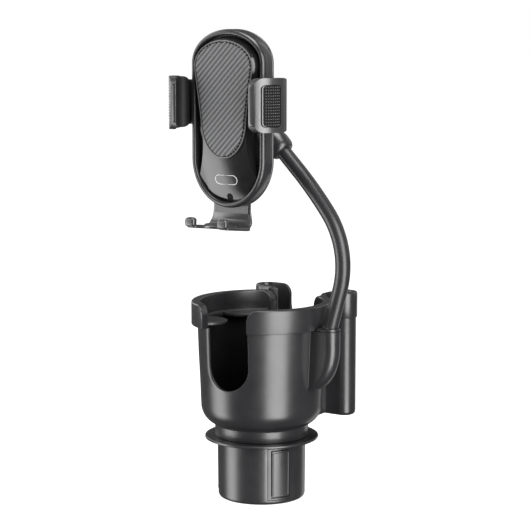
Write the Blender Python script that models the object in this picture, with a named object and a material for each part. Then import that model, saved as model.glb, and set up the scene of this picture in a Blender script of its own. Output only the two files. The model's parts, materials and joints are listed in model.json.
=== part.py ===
"""Car phone mount that plugs into a cup holder: an expanding base, a cup, a storage pocket,
a gooseneck on a side socket, a ball joint and a self-clamping phone cradle.

Sizes in this file are millimetres and become metres when a mesh is made. +Z is up, the phone faces
-Y, the gooseneck rises on the +X side, and the origin is the centre of the base's underside.
Azimuths are degrees from the front (-Y) towards +X.
"""

from math import atan2, cos, pi, radians, sin, sqrt

import bmesh
import bpy
from mathutils import Matrix, Vector

MM = 0.001
GAP = 0.4

# Base that fits the car's cup holder
BARREL_R_BOTTOM = 32.5
BARREL_R_TOP = 32.9
BARREL_BORE_R = 30.4
FLANGE_R = 42.5
FLANGE_UNDERSIDE_Z = 44.7
FLANGE_TOP_Z = 46.7
CEILING_Z = 43.5
COVER_THICK = 2.4
POST_RING_R = 27.2
POST_AZIMUTHS = (0, 120, 240)

# Expanding tabs and the cam that drives them
TAB_AZIMUTHS = {"right": 60, "rear": 180, "left": 300}
TAB_HALF_WIDTH = 9.9
TAB_Z = (3.7, 42.1)
WINDOW_HALF_WIDTH = 10.3
WINDOW_Z = (3.3, 42.5)
TAB_TRAVEL = 7.0
TAB_PIN_R = 1.8
PIN_RING_R = 12.0
ARM_HALF_WIDTH = 4.5
ARM_Z = (6.0, 9.5)
CAM_Z = (10.2, 13.2)
CAM_R = 22.9
CAM_TURN = 90
SPINDLE_R = 8.5
SPINDLE_END_Z = 13.6

# Cup
NECK_R = 35.0
CUP_WALL = 2.2
CUP_FLOOR_Z = 60.0
CUP_STEPS = 40
CUP_RADII = ((71, 45.4), (90, 46.1), (110, 47.1), (131.2, 47.8))
CUP_INNER_FOOT = ((29.0, 74.0), (14.2, 14.0))
CUP_BOLT_BORE_R = 2.4
BAND_R = 52.4
BAND_Z = (131.2, 148.6)
BAND_INNER_R = 45.7
SLOT_HALF_WIDTH = 17.8
SLOT_BOTTOM_Z = 86.8
BAND_SLOT_HALF_WIDTH = 19.5
BAND_CORNER_R = 8.0
REAR_SLOT_BOTTOM_Z = 118.0

# Soft fins inside the cup
FIN_AZIMUTHS = (55, 125, 235, 305)
FIN_HINGE_R = 40.5
FIN_HALF_WIDTH = 15.3
FIN_LENGTH = 15.0
FIN_ROOT_GAP = 1.3
FIN_RING_R = 44.4
FIN_Z = (132.0, 133.8)

# Storage pocket behind the cup
POCKET_HALF_WIDTH = 43.9
POCKET_WING_Y = (52.2, 70.0)
POCKET_ROOT_Y = 42.0
POCKET_ROOT_HALF_WIDTH = 24.0
POCKET_Z = (54.8, 150.3)
POCKET_BAND_Z = 130.5
POCKET_BAND_PROUD = 0.9
POCKET_CORNER_R = 8.9
POCKET_WALL = 2.4
POCKET_SCREW_HEIGHTS = (80.0, 102.0)
POCKET_BOSS_END_Y = 54.0
SOCKET_SCREW_HEIGHTS = (94.0, 104.0)
SCREW_PILOT_R = 1.9
SCREW_BOSS_R = 3.4
SOCKET_PILOT_X = (44.0, 55.0)

# Socket and gooseneck
SOCKET_HALF_WIDTH = 7.1
SOCKET_REACH_X = 67.6
SOCKET_SHOULDER_Z = 118.0
SOCKET_TOP_Z = 130.7
SOCKET_DROP = 33.0
SOCKET_CENTRE_X = 44.0
SOCKET_ROOT_X = 40.0
NECK_START = (60.3, 132.7)
NECK_LEAN = 15.5
NECK_RUNS = ((30.0, 0.0), (58.6, -52.5), (40.0, -8.0), (44.6, 0.0))
NECK_R_OUT = 5.6
NECK_R_IN = 4.1
CORE_R = 3.6
NECK_PIVOTS = (28.0, 60.0, 92.0, 122.0)
NECK_JOINT_GAP = 2.8
NECK_ROOT = -15.0
NECK_END = 152.4

# Ball joint between gooseneck and cradle
ELBOW = (0.0, 0.0, 279.0)
BALL_Y = -20.5
BALL_R = 8.5
ROD_R = 5.0
STUD_R = 3.6
FERRULE_R = 8.0

# Cradle
FACE_Y = -42.4
CRADLE_THICK = 12.0
CRADLE_HALF_WIDTH = 31.3
CRADLE_Z = (221.0, 348.5)
CRADLE_TOP_ARC = 24.0
CRADLE_BOTTOM_ARC = 35.0
FRAME_WALL = 4.0
FRAME_DEPTH = 9.1
FACE_RISE = 5.5
PAD_THICK = 1.1
CLAMP_Z = (277.0, 315.0)
CLAMP_PLATE_Z = (279.8, 312.2)
CLAMP_PLATE_DEPTH = (5.0, 6.8)
CLAMP_PIN = (12.0, 296.0)
FOOT_PLATE_DEPTH = (7.2, 8.8)
FOOT_TRAVEL = 7.0
CLAMP_RATIO = 0.9
FOOT_FLOOR_Z = (205.0, 208.5)
CAM_PLATE_Z = (283.0, 307.5)
CRADLE_SCREWS = ((17.5, 333.0), (-17.5, 333.0), (19.8, 245.0), (-19.8, 245.0))
ISLAND_TOP_Z = 322.0
ISLAND_WAIST_Z = 284.0
ISLAND_HALF_WIDTHS = (25.8, 20.1)
ISLAND_FOOT_HALF_WIDTHS = (27.0, 22.5)
JAW_THICK = 3.6
JAW_CURVE = (
    (22.0, 36.0),
    (16.0, 40.6),
    (10.0, 44.3),
    (4.0, 46.8),
    (-1.0, 47.7),
    (-4.2, 47.3),
    (-6.2, 45.2),
)

LOOKS = {
    "satin_black": ((0.030, 0.031, 0.033), 0.42, 0.0),
    "gloss_black": ((0.010, 0.010, 0.012), 0.08, 0.0),
    "soft_black": ((0.022, 0.022, 0.023), 0.75, 0.0),
    "weave_grey": ((0.120, 0.122, 0.125), 0.50, 0.0),
    "zinc_steel": ((0.520, 0.520, 0.540), 0.32, 1.0),
    "chrome_ball": ((0.700, 0.700, 0.720), 0.10, 1.0),
}


# ---------------------------------------------------------------- making meshes


def clear_scene():
    for obj in list(bpy.data.objects):
        bpy.data.objects.remove(obj)


def material(look):
    found = bpy.data.materials.get(look)
    if found:
        return found
    colour, roughness, metallic = LOOKS[look]
    made = bpy.data.materials.new(look)
    made.use_nodes = True
    shader = made.node_tree.nodes["Principled BSDF"]
    shader.inputs["Base Color"].default_value = (*colour, 1.0)
    shader.inputs["Roughness"].default_value = roughness
    shader.inputs["Metallic"].default_value = metallic
    return made


def solid(points, faces, where=None):
    """An object from points in millimetres, faces turned outwards."""
    mesh = bpy.data.meshes.new("solid")
    mesh.from_pydata([Vector(p) * MM for p in points], [], faces)
    shell = bmesh.new()
    shell.from_mesh(mesh)
    bmesh.ops.recalc_face_normals(shell, faces=shell.faces)
    shell.to_mesh(mesh)
    shell.free()
    obj = bpy.data.objects.new("solid", mesh)
    bpy.context.scene.collection.objects.link(obj)
    if where is not None:
        move = where.copy()
        move.translation = where.translation * MM
        mesh.transform(move)
    return obj


def facing(point, direction):
    """Matrix that puts a shape's +Z along a direction, at a point in millimetres."""
    turn = Vector(direction).normalized().to_track_quat("Z", "Y").to_matrix().to_4x4()
    return Matrix.Translation(Vector(point)) @ turn


def turned(profile, steps, where=None):
    """A profile of (radius, height) spun about Z. Points with radius 0 close it on the axis."""
    points = []
    rings = []
    for radius, height in profile:
        first = len(points)
        if radius == 0:
            points.append((0, 0, height))
            rings.append([first] * steps)
            continue
        for step in range(steps):
            angle = 2 * pi * step / steps
            points.append((radius * sin(angle), -radius * cos(angle), height))
        rings.append([first + step for step in range(steps)])
    faces = []
    for lower, upper in zip(rings, rings[1:] + rings[:1]):
        for step in range(steps):
            after = (step + 1) % steps
            corners = [lower[step], lower[after], upper[after], upper[step]]
            corners = list(dict.fromkeys(corners))
            if len(corners) > 2:
                faces.append(corners)
    return solid(points, faces, where)


def cylinder(radius, start, end, steps=20):
    """A plain round bar between two points."""
    length = (Vector(end) - Vector(start)).length
    profile = ((0, 0), (radius, 0), (radius, length), (0, length))
    return turned(profile, steps, facing(start, Vector(end) - Vector(start)))


def loft(rings):
    """A solid through rings that have equal numbers of points, with flat ends."""
    count = len(rings[0])
    points = [p for ring in rings for p in ring]
    faces = [list(range(count)), list(range(len(points) - count, len(points)))]
    for level in range(len(rings) - 1):
        for i in range(count):
            after = (i + 1) % count
            low = level * count
            faces.append([low + i, low + after, low + count + after, low + count + i])
    return solid(points, faces)


def slab_z(outline, low, high):
    """An outline of (x, y) extruded from one height to another."""
    return loft([[(x, y, z) for x, y in outline] for z in (low, high)])


def slab_y(outline, front, back):
    """An outline of (x, z) extruded along Y."""
    return loft([[(x, y, z) for x, z in outline] for y in (front, back)])


def slab_x(outline, left, right):
    """An outline of (y, z) extruded along X."""
    return loft([[(x, y, z) for y, z in outline] for x in (left, right)])


def box(low, high):
    (x0, y0, z0), (x1, y1, z1) = low, high
    return slab_z(((x0, y0), (x1, y0), (x1, y1), (x0, y1)), z0, z1)


def tube_along(places, radius, sides):
    """A round bar through (point, side, up) frames, whose rings stand square to the path."""
    rings = []
    for point, side, up in places:
        ring = []
        for i in range(sides):
            angle = 2 * pi * i / sides
            ring.append(Vector(point) + radius * (cos(angle) * side + sin(angle) * up))
        rings.append(ring)
    return loft(rings)


def boolean(obj, other, operation):
    """Applies a Boolean of the other object and removes that object."""
    modifier = obj.modifiers.new("step", "BOOLEAN")
    modifier.operation = operation
    modifier.solver = "EXACT"
    modifier.object = other
    graph = bpy.context.evaluated_depsgraph_get()
    graph.update()
    result = bpy.data.meshes.new_from_object(obj.evaluated_get(graph))
    obj.modifiers.clear()
    obj.data = result
    bpy.data.objects.remove(other)
    return obj


def cut(obj, *others):
    for other in others:
        boolean(obj, other, "DIFFERENCE")
    return obj


def join(obj, *others):
    for other in others:
        boolean(obj, other, "UNION")
    return obj


def keep_inside(obj, other):
    return boolean(obj, other, "INTERSECT")


def spun(obj, azimuth):
    """Turns a shape that was made at the front (-Y) round Z to its azimuth."""
    obj.data.transform(Matrix.Rotation(radians(azimuth), 4, "Z"))
    return obj


def mirrored(obj):
    """The other hand of a shape, across the plane X = 0."""
    obj.data.transform(Matrix.Scale(-1, 4, Vector((1, 0, 0))))
    obj.data.flip_normals()
    return obj


def axis_empty(name, at, parent=None):
    """An empty on a joint's axis, which carries the pieces that move about it."""
    empty = bpy.data.objects.new(name, None)
    empty.empty_display_size = 0.01
    bpy.context.scene.collection.objects.link(empty)
    empty.location = Vector(at) * MM
    bpy.context.view_layer.update()
    hang(empty, parent)
    return empty


def hang(obj, parent):
    if parent is None:
        return
    obj.parent = parent
    obj.matrix_parent_inverse = parent.matrix_world.inverted()
    bpy.context.view_layer.update()


def piece(obj, name, look, parent=None, crease=35):
    """Names a finished solid, moves its origin to its parent's axis and gives it its material."""
    obj.name = name
    obj.data.name = name
    if parent is not None:
        origin = parent.matrix_world.translation
        obj.data.transform(Matrix.Translation(-origin))
        obj.location = origin
        bpy.context.view_layer.update()
        hang(obj, parent)
    obj.data.materials.clear()
    obj.data.materials.append(material(look))
    obj.data.shade_smooth()
    obj.data.set_sharp_from_angle(angle=radians(crease))
    return obj


def arc(centre, radii, start, end, count):
    """Points on an ellipse arc, in degrees from the first axis."""
    points = []
    for i in range(count + 1):
        angle = radians(start + (end - start) * i / count)
        points.append((centre[0] + radii[0] * cos(angle), centre[1] + radii[1] * sin(angle)))
    return points


def rounded_box_outline(low, high, radius, count=4):
    (x0, y0), (x1, y1) = low, high
    corners = (
        ((x1 - radius, y0 + radius), -90),
        ((x1 - radius, y1 - radius), 0),
        ((x0 + radius, y1 - radius), 90),
        ((x0 + radius, y0 + radius), 180),
    )
    outline = []
    for centre, start in corners:
        outline += arc(centre, (radius, radius), start, start + 90, count)
    return outline


def screw(head_r, head_height, shank_r, length, at, along):
    """A pan-head screw with a cross recess: the head's top is at the point, the shank goes along."""
    profile = (
        (0, 0),
        (head_r - 0.5, 0),
        (head_r, 0.4),
        (head_r, head_height),
        (shank_r, head_height),
        (shank_r, length - 0.8),
        (shank_r * 0.4, length),
        (0, length),
    )
    where = facing(at, along)
    made = turned(profile, 10, where)
    for half_x, half_y in ((head_r * 0.55, 0.3), (0.3, head_r * 0.55)):
        outline = ((-half_x, -half_y), (half_x, -half_y), (half_x, half_y), (-half_x, half_y))
        recess = loft([[(x, y, z) for x, y in outline] for z in (-1.0, head_height * 0.55)])
        move = where.copy()
        move.translation = where.translation * MM
        recess.data.transform(move)
        cut(made, recess)
    return made


# ---------------------------------------------------------------- base


def base_barrel():
    profile = [
        (BARREL_BORE_R, 0),
        (BARREL_R_BOTTOM - 1.6, 0),
        (BARREL_R_BOTTOM - 0.8, 0.9),
        (BARREL_R_BOTTOM, 2.9),
        (BARREL_R_TOP, FLANGE_UNDERSIDE_Z),
        (FLANGE_R - 0.4, FLANGE_UNDERSIDE_Z),
        (FLANGE_R, FLANGE_UNDERSIDE_Z + 0.5),
        (FLANGE_R, FLANGE_TOP_Z - 0.5),
        (FLANGE_R - 0.5, FLANGE_TOP_Z),
        (SPINDLE_R + GAP, FLANGE_TOP_Z),
        (SPINDLE_R + GAP, SPINDLE_END_Z),
        (SPINDLE_R + 3.0, SPINDLE_END_Z),
        (SPINDLE_R + 3.0, CEILING_Z),
        (BARREL_BORE_R, CEILING_Z),
    ]
    barrel = turned(profile, 44)
    for azimuth in POST_AZIMUTHS:
        post = cylinder(3.6, (0, -POST_RING_R, COVER_THICK + GAP), (0, -POST_RING_R, CEILING_Z + 1), 12)
        bore = cylinder(1.6, (0, -POST_RING_R, -1), (0, -POST_RING_R, 13), 12)
        join(barrel, spun(post, azimuth))
        cut(barrel, spun(bore, azimuth))
    for azimuth in TAB_AZIMUTHS.values():
        window = box(
            (-WINDOW_HALF_WIDTH, -BARREL_R_TOP - 3, WINDOW_Z[0]),
            (WINDOW_HALF_WIDTH, -BARREL_BORE_R + 6, WINDOW_Z[1]),
        )
        cut(barrel, spun(window, azimuth))
    return piece(barrel, "base_barrel", "satin_black")


def base_cover():
    radius = BARREL_BORE_R - GAP
    profile = ((0, 0), (radius - 0.4, 0), (radius, 0.4), (radius, COVER_THICK), (0, COVER_THICK))
    cover = turned(profile, 36)
    for azimuth in TAB_AZIMUTHS.values():
        for side in (-1, 1):
            inner = side * (ARM_HALF_WIDTH + GAP)
            outer = side * (ARM_HALF_WIDTH + GAP + 1.6)
            rib = box(
                (min(inner, outer), -24, COVER_THICK - 1),
                (max(inner, outer), -10.5, ARM_Z[1] - 0.7),
            )
            join(cover, spun(rib, azimuth))
    for azimuth in POST_AZIMUTHS:
        hole = cylinder(1.6, (0, -POST_RING_R, -1), (0, -POST_RING_R, 4), 12)
        sink = cylinder(3.0, (0, -POST_RING_R, -1), (0, -POST_RING_R, 1.3), 12)
        cut(cover, spun(hole, azimuth), spun(sink, azimuth))
    return piece(cover, "base_cover", "satin_black")


def base_screws():
    for number, azimuth in enumerate(POST_AZIMUTHS, 1):
        made = screw(2.6, 0.9, 1.2, 11.5, (0, -POST_RING_R, 0.1), (0, 0, 1))
        piece(spun(made, azimuth), f"base_screw_{number}", "zinc_steel")


def tab_shell(half_width, radii, heights):
    """A curved plate at the front, cut from a ring."""
    inner, outer_low, outer_high = radii
    ring = turned(
        ((inner, heights[0]), (outer_low, heights[0]), (outer_high, heights[1]), (inner, heights[1])),
        72,
    )
    wedge = box(
        (-half_width, -60, heights[0] - 1),
        (half_width, -inner * 0.8, heights[1] + 1),
    )
    return keep_inside(ring, wedge)


def expanding_tab(name, azimuth):
    """Plate, sliding arm and cam pin in one moulding."""
    tab = tab_shell(TAB_HALF_WIDTH, (29.3, BARREL_R_BOTTOM, BARREL_R_TOP - 0.1), TAB_Z)
    arm = box((-ARM_HALF_WIDTH, -30.5, ARM_Z[0]), (ARM_HALF_WIDTH, -PIN_RING_R + 2.8, ARM_Z[1]))
    pin = cylinder(TAB_PIN_R, (0, -PIN_RING_R, ARM_Z[1] - 1), (0, -PIN_RING_R, CAM_Z[1]), 14)
    join(tab, arm, pin)
    pocket = tab_shell(7.9, (31.2, 40, 40), (4.8, 41.3))
    cut(tab, pocket)
    slide = axis_empty(f"{name}_slide", (0, 0, 0))
    piece(spun(tab, azimuth), name, "satin_black", slide)
    pad = tab_shell(7.55, (31.5, BARREL_R_BOTTOM + 0.3, BARREL_R_TOP + 0.2), (5.15, 40.95))
    piece(spun(pad, azimuth), name.replace("tab", "tab_pad"), "soft_black", slide)


def spiral_slot(azimuth):
    """Cutter for a slot whose radius grows by the tab's travel as the cam turns."""
    half = TAB_PIN_R + GAP
    overrun = 12
    steps = 10
    outer = []
    inner = []
    for i in range(steps + 1):
        turn = -overrun + (CAM_TURN + 2 * overrun) * i / steps
        radius = PIN_RING_R + TAB_TRAVEL * turn / CAM_TURN
        angle = radians(azimuth - turn)
        outer.append(((radius + half) * sin(angle), -(radius + half) * cos(angle)))
        inner.append(((radius - half) * sin(angle), -(radius - half) * cos(angle)))
    return slab_z(outer + inner[::-1], CAM_Z[0] - 1, CAM_Z[1] + 1)


def cam_disc(parent):
    low, high = CAM_Z
    bore = CUP_BOLT_BORE_R
    disc = turned(((bore, low), (CAM_R, low), (CAM_R, high), (bore, high)), 36)
    for azimuth in TAB_AZIMUTHS.values():
        cut(disc, spiral_slot(azimuth))
    return piece(disc, "cam_disc", "zinc_steel", parent)


def centre_bolt(parent):
    bolt = screw(4.4, 2.6, 2.0, 24, (0, 0, 7.2), (0, 0, 1))
    return piece(bolt, "centre_bolt", "zinc_steel", parent)


# ---------------------------------------------------------------- cup and pocket


def cup_outer(offset=0.0):
    """Outer profile of the cup from its rounded foot to its band, moved outwards by an offset."""
    foot_end = CUP_RADII[0]
    foot = arc((30.4, foot_end[0]), (15.0 + offset, 15.8 + offset), -70, 0, 4)
    profile = [(NECK_R + offset, FLANGE_TOP_Z + GAP), (NECK_R + offset, foot[0][1])]
    profile += foot
    profile += [(radius + offset, height) for height, radius in CUP_RADII[1:]]
    profile[-1] = (profile[-1][0], BAND_Z[0] - offset)
    profile.append((BAND_R + offset, BAND_Z[0] - offset))
    return profile


def cup_clearance(offset):
    """Cutter that holds the cup's outside plus an offset."""
    profile = cup_outer(offset)
    profile[0] = (profile[0][0], 30)
    return turned([(0, 30)] + profile + [(BAND_R + offset, 180), (0, 180)], CUP_STEPS)


def slot_outline(half_width, bottom, top=170):
    """U-shaped outline of a handle slot."""
    round_bottom = arc((0, bottom + half_width), (half_width, half_width), 180, 360, 12)
    return [(-half_width, top)] + round_bottom + [(half_width, top)]


def band_slot_outline(half_width, bottom, band_top):
    """Slot through a band, flared by the rounded corners at the band's top edge."""
    r = BAND_CORNER_R
    right = arc((half_width + r, band_top - r), (r, r), 180, 90, 5)
    left = [(-x, z) for x, z in right[::-1]]
    flare = [(half_width + r, band_top + 6)]
    low = [(-half_width, bottom), (half_width, bottom)]
    return low + right + flare + [(-half_width - r, band_top + 6)] + left


def cup_shell(parent):
    inner_radii = [(radius - CUP_WALL, height) for height, radius in CUP_RADII[1:3]]
    inner_foot = arc(*CUP_INNER_FOOT, 0, -90, 4)
    profile = cup_outer()
    profile += [
        (BAND_R, BAND_Z[1] - 1.6),
        (BAND_R - 0.5, BAND_Z[1] - 0.5),
        (BAND_R - 1.6, BAND_Z[1]),
        (BAND_INNER_R + 1.2, BAND_Z[1]),
        (BAND_INNER_R + 0.3, BAND_Z[1] - 0.4),
        (BAND_INNER_R, BAND_Z[1] - 1.3),
        (BAND_INNER_R, BAND_Z[0]),
    ]
    profile += inner_radii[::-1]
    profile += inner_foot
    floor_underside = CUP_FLOOR_Z - 2.5
    profile += [
        (CUP_BOLT_BORE_R, CUP_FLOOR_Z),
        (CUP_BOLT_BORE_R, SPINDLE_END_Z),
        (SPINDLE_R, SPINDLE_END_Z),
        (SPINDLE_R, floor_underside),
        (NECK_R - 2.5, floor_underside),
        (NECK_R - 2.5, FLANGE_TOP_Z + GAP),
    ]
    cup = turned(profile, CUP_STEPS)
    front = slab_y(slot_outline(SLOT_HALF_WIDTH, SLOT_BOTTOM_Z), -70, 0)
    front_band = slab_y(band_slot_outline(BAND_SLOT_HALF_WIDTH, BAND_Z[0], BAND_Z[1]), -70, 0)
    rear = slab_y(slot_outline(SLOT_HALF_WIDTH, REAR_SLOT_BOTTOM_Z), 0, 70)
    rear_band = slab_y(band_slot_outline(BAND_SLOT_HALF_WIDTH, BAND_Z[0], BAND_Z[1]), 0, 70)
    cut(cup, front, front_band, rear, rear_band)
    for height in POCKET_SCREW_HEIGHTS:
        cut(cup, cylinder(SCREW_PILOT_R, (0, 38, height), (0, 50, height), 12))
    for height in SOCKET_SCREW_HEIGHTS:
        cut(cup, cylinder(SCREW_PILOT_R, (38, 0, height), (50, 0, height), 12))
    return piece(cup, "cup_shell", "satin_black", parent)


def cup_mat(parent):
    low = CUP_FLOOR_Z + 0.3
    profile = ((0, low), (27, low), (27.4, low + 0.5), (26.8, low + 1.5), (0, low + 1.5))
    return piece(turned(profile, 28), "cup_mat", "soft_black", parent)


def pocket_outline(inset):
    """Round-ended pocket in plan, with a narrower root that reaches forward to the cup."""
    front, back = POCKET_WING_Y
    radius = POCKET_CORNER_R - inset
    end = POCKET_HALF_WIDTH - POCKET_CORNER_R
    root = POCKET_ROOT_HALF_WIDTH - inset
    right = [(root, POCKET_ROOT_Y + inset), (root, front + inset)]
    right += arc((end, front + POCKET_CORNER_R), (radius, radius), -90, 0, 6)
    right += arc((end, back - POCKET_CORNER_R), (radius, radius), 0, 90, 6)[1:]
    return right + [(-x, y) for x, y in reversed(right)]


def pocket_shell(parent):
    low, top = POCKET_Z
    rings = [
        [(x, y, low) for x, y in pocket_outline(2.4)],
        [(x, y, low + 0.8) for x, y in pocket_outline(0.8)],
        [(x, y, low + 2.6) for x, y in pocket_outline(0)],
        [(x, y, POCKET_BAND_Z) for x, y in pocket_outline(0)],
        [(x, y, POCKET_BAND_Z) for x, y in pocket_outline(-POCKET_BAND_PROUD)],
        [(x, y, top - 1.2) for x, y in pocket_outline(-POCKET_BAND_PROUD)],
        [(x, y, top) for x, y in pocket_outline(0.2)],
    ]
    pocket = cut(loft(rings), cup_clearance(GAP))
    room = slab_z(pocket_outline(POCKET_WALL), low + POCKET_WALL, top + 10)
    cut(room, cup_clearance(GAP + CUP_WALL))
    for height in POCKET_SCREW_HEIGHTS:
        start, end = (0, POCKET_ROOT_Y - 2, height), (0, POCKET_BOSS_END_Y, height)
        cut(room, cylinder(SCREW_BOSS_R, start, end, 12))
    cut(pocket, room)
    notch = slab_y(slot_outline(BAND_SLOT_HALF_WIDTH, REAR_SLOT_BOTTOM_Z - 1.5, 148), 40, 80)
    flare = slab_y(band_slot_outline(BAND_SLOT_HALF_WIDTH, 140, top), 40, 80)
    cut(pocket, notch, flare)
    for height in POCKET_SCREW_HEIGHTS:
        start, end = (0, POCKET_ROOT_Y + 3, height), (0, POCKET_BOSS_END_Y - 1.4, height)
        cut(pocket, cylinder(SCREW_PILOT_R, start, end, 12))
    return piece(pocket, "pocket_shell", "satin_black", parent)


def cup_wall_screws(parent):
    """Screws driven from inside the cup into the pocket and into the arm socket."""
    for number, height in enumerate(POCKET_SCREW_HEIGHTS, 1):
        made = screw(3.1, 1.8, 1.5, 10.8, (0, 41.2, height), (0, 1, 0))
        piece(made, f"pocket_screw_{number}", "zinc_steel", parent)
    for number, height in enumerate(SOCKET_SCREW_HEIGHTS, 1):
        made = screw(3.1, 1.8, 1.5, 13, (41.6, 0, height), (1, 0, 0))
        piece(made, f"socket_screw_{number}", "zinc_steel", parent)


def fin_ring(name, start, parent):
    """Soft band on one side of the cup's wall, with a straight root for each fin."""
    outer_r = BAND_INNER_R - GAP
    inner_r = FIN_RING_R
    end = start + 122
    steps = 24
    outline = []
    for i in range(steps + 1):
        angle = radians(start + (end - start) * i / steps)
        outline.append((outer_r * sin(angle), -outer_r * cos(angle)))
    for i in range(steps * 2 + 1):
        azimuth = end + (start - end) * i / (steps * 2)
        radius = inner_r
        for fin in FIN_AZIMUTHS:
            away = cos(radians(azimuth - fin))
            if away > 0.9:
                radius = min(radius, (FIN_HINGE_R + FIN_ROOT_GAP) / away)
        angle = radians(azimuth)
        outline.append((radius * sin(angle), -radius * cos(angle)))
    band = slab_z(outline, FIN_Z[0] - 1.2, FIN_Z[1] + 1.2)
    return piece(band, name, "soft_black", parent)


def fin(number, azimuth, parent):
    """Soft flap that steadies a cup, hinged along its straight root."""
    outline = arc((0, -FIN_HINGE_R), (FIN_HALF_WIDTH, FIN_LENGTH), 0, 180, 14)
    flap = spun(slab_z(outline, *FIN_Z), azimuth)
    angle = radians(azimuth)
    middle = (FIN_Z[0] + FIN_Z[1]) / 2
    hinge = axis_empty(
        f"fin_{number}_hinge", (FIN_HINGE_R * sin(angle), -FIN_HINGE_R * cos(angle), middle), parent
    )
    return piece(flap, f"fin_{number}", "soft_black", hinge)


# ---------------------------------------------------------------- gooseneck


def neck_frame(distance):
    """Point, heading in degrees from vertical, on the neck's centre line in the plane Y = 0."""
    x, z = NECK_START
    heading = NECK_LEAN
    left = distance
    for length, turn in NECK_RUNS:
        run = min(left, length) if left > 0 else left
        turned_by = turn * run / length
        if turn and run > 0:
            radius = length / radians(-turn)
            new = heading + turned_by
            x += radius * (cos(radians(new)) - cos(radians(heading)))
            z += radius * (sin(radians(heading)) - sin(radians(new)))
            heading = new
        else:
            x += run * sin(radians(heading))
            z += run * cos(radians(heading))
        left -= run
        if left <= 0:
            break
    return (x, 0.0, z), heading


def neck_place(distance):
    point, heading = neck_frame(distance)
    side = Vector((cos(radians(heading)), 0, -sin(radians(heading))))
    return point, side, Vector((0, 1, 0))


def neck_section(number, start, end, parent):
    """One length of the gooseneck: a soft sleeve round the steel coil core."""
    rings = max(2, round((end - start) / 7))
    places = [neck_place(start + (end - start) * i / rings) for i in range(rings + 1)]
    longer = [neck_place(start - 1)] + places[1:-1] + [neck_place(end + 1)]
    sleeve = cut(tube_along(places, NECK_R_OUT, 16), tube_along(longer, NECK_R_IN, 10))
    piece(sleeve, f"neck_sleeve_{number}", "soft_black", parent)
    core = tube_along(places, CORE_R, 8)
    piece(core, f"neck_core_{number}", "zinc_steel", parent)


def gooseneck(cup_axis):
    """Five lengths in a chain, each on an empty at the joint below it."""
    half_gap = NECK_JOINT_GAP / 2
    starts = [NECK_ROOT] + [pivot + half_gap for pivot in NECK_PIVOTS]
    ends = [pivot - half_gap for pivot in NECK_PIVOTS] + [NECK_END]
    parent = cup_axis
    for number, (start, end) in enumerate(zip(starts, ends), 1):
        if number > 1:
            point, _ = neck_frame(NECK_PIVOTS[number - 2])
            parent = axis_empty(f"neck_joint_{number}", point, parent)
        neck_section(number, start, end, parent)
    return parent


def socket_section(height, reach):
    """Horizontal outline of the socket: straight sides and a round nose."""
    root = SOCKET_ROOT_X
    half = SOCKET_HALF_WIDTH
    nose = min(half, reach - root)
    outline = arc((reach - nose, 0), (nose, half), -90, 90, 10)
    return [(x, y, height) for x, y in outline] + [(root, half, height), (root, -half, height)]


def arm_socket(parent):
    quarter = arc(
        (SOCKET_CENTRE_X, SOCKET_SHOULDER_Z), (SOCKET_REACH_X - SOCKET_CENTRE_X, SOCKET_DROP), -84, 0, 8
    )
    rings = [socket_section(height, reach) for reach, height in quarter]
    rings.append(socket_section(SOCKET_TOP_Z, SOCKET_REACH_X))
    socket = cut(loft(rings), cup_clearance(GAP))
    deep, _, _ = neck_place(NECK_ROOT - GAP)
    out, _, _ = neck_place(10)
    cut(socket, cylinder(NECK_R_OUT + GAP, deep, out, 20))
    start, end = SOCKET_PILOT_X
    for height in SOCKET_SCREW_HEIGHTS:
        cut(socket, cylinder(SCREW_PILOT_R, (start, 0, height), (end, 0, height), 12))
    return piece(socket, "arm_socket", "satin_black", parent)


def socket_cap(parent):
    """Collar plate that closes the socket round the gooseneck."""
    low, high = SOCKET_TOP_Z + GAP, SOCKET_TOP_Z + 2.4
    half = SOCKET_HALF_WIDTH + 0.2
    outline = arc((SOCKET_REACH_X - half, 0), (half, half), -90, 90, 12)
    outline += [(BAND_R + 0.9, half), (BAND_R + 0.9, -half)]
    cap = slab_z(outline, low, high)
    deep, _, _ = neck_place(-12)
    out, _, _ = neck_place(12)
    cut(cap, cylinder(NECK_R_OUT + GAP, deep, out, 20))
    return piece(cap, "socket_cap", "satin_black", parent)


# ---------------------------------------------------------------- ball joint


def neck_end_direction():
    """Unit vector from the elbow back down the neck."""
    _, heading = neck_frame(NECK_END)
    return Vector((-sin(radians(heading)), 0, -cos(radians(heading))))


def arm_ferrule(parent):
    back = neck_end_direction()
    elbow = Vector(ELBOW)
    length = 17.5
    r = FERRULE_R
    profile = ((0, 0), (r - 0.8, 0), (r, 0.8), (r, length - 1), (r - 1, length), (0, length))
    ferrule = turned(profile, 24, facing(elbow + back * 10.5, back))
    cut(
        ferrule,
        cylinder(NECK_R_OUT + 0.35, elbow + back * 20.2, elbow + back * 30, 20),
        cylinder(ROD_R + 0.35, elbow + back * 9, elbow + back * 17, 20),
    )
    return piece(ferrule, "arm_ferrule", "satin_black", parent)


def sphere(centre, radius, steps, rows):
    profile = [(0, -radius)]
    profile += [
        (radius * cos(radians(a)), radius * sin(radians(a)))
        for a in (-90 + 180 * i / rows for i in range(1, rows))
    ]
    profile.append((0, radius))
    return turned(profile, steps, facing(centre, (0, -1, 0)))


def ball_stud(parent):
    """Elbow rod from the ferrule, and the ball on its stud."""
    back = neck_end_direction()
    elbow = Vector(ELBOW)
    ball = Vector((0, BALL_Y, ELBOW[2]))
    stud = cylinder(ROD_R, elbow + back * 16.6, elbow, 16)
    join(
        stud,
        sphere(elbow, ROD_R + 0.1, 14, 8),
        cylinder(STUD_R, elbow, ball, 16),
        sphere(ball, BALL_R, 20, 12),
    )
    return piece(stud, "ball_stud", "chrome_ball", parent)


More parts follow.
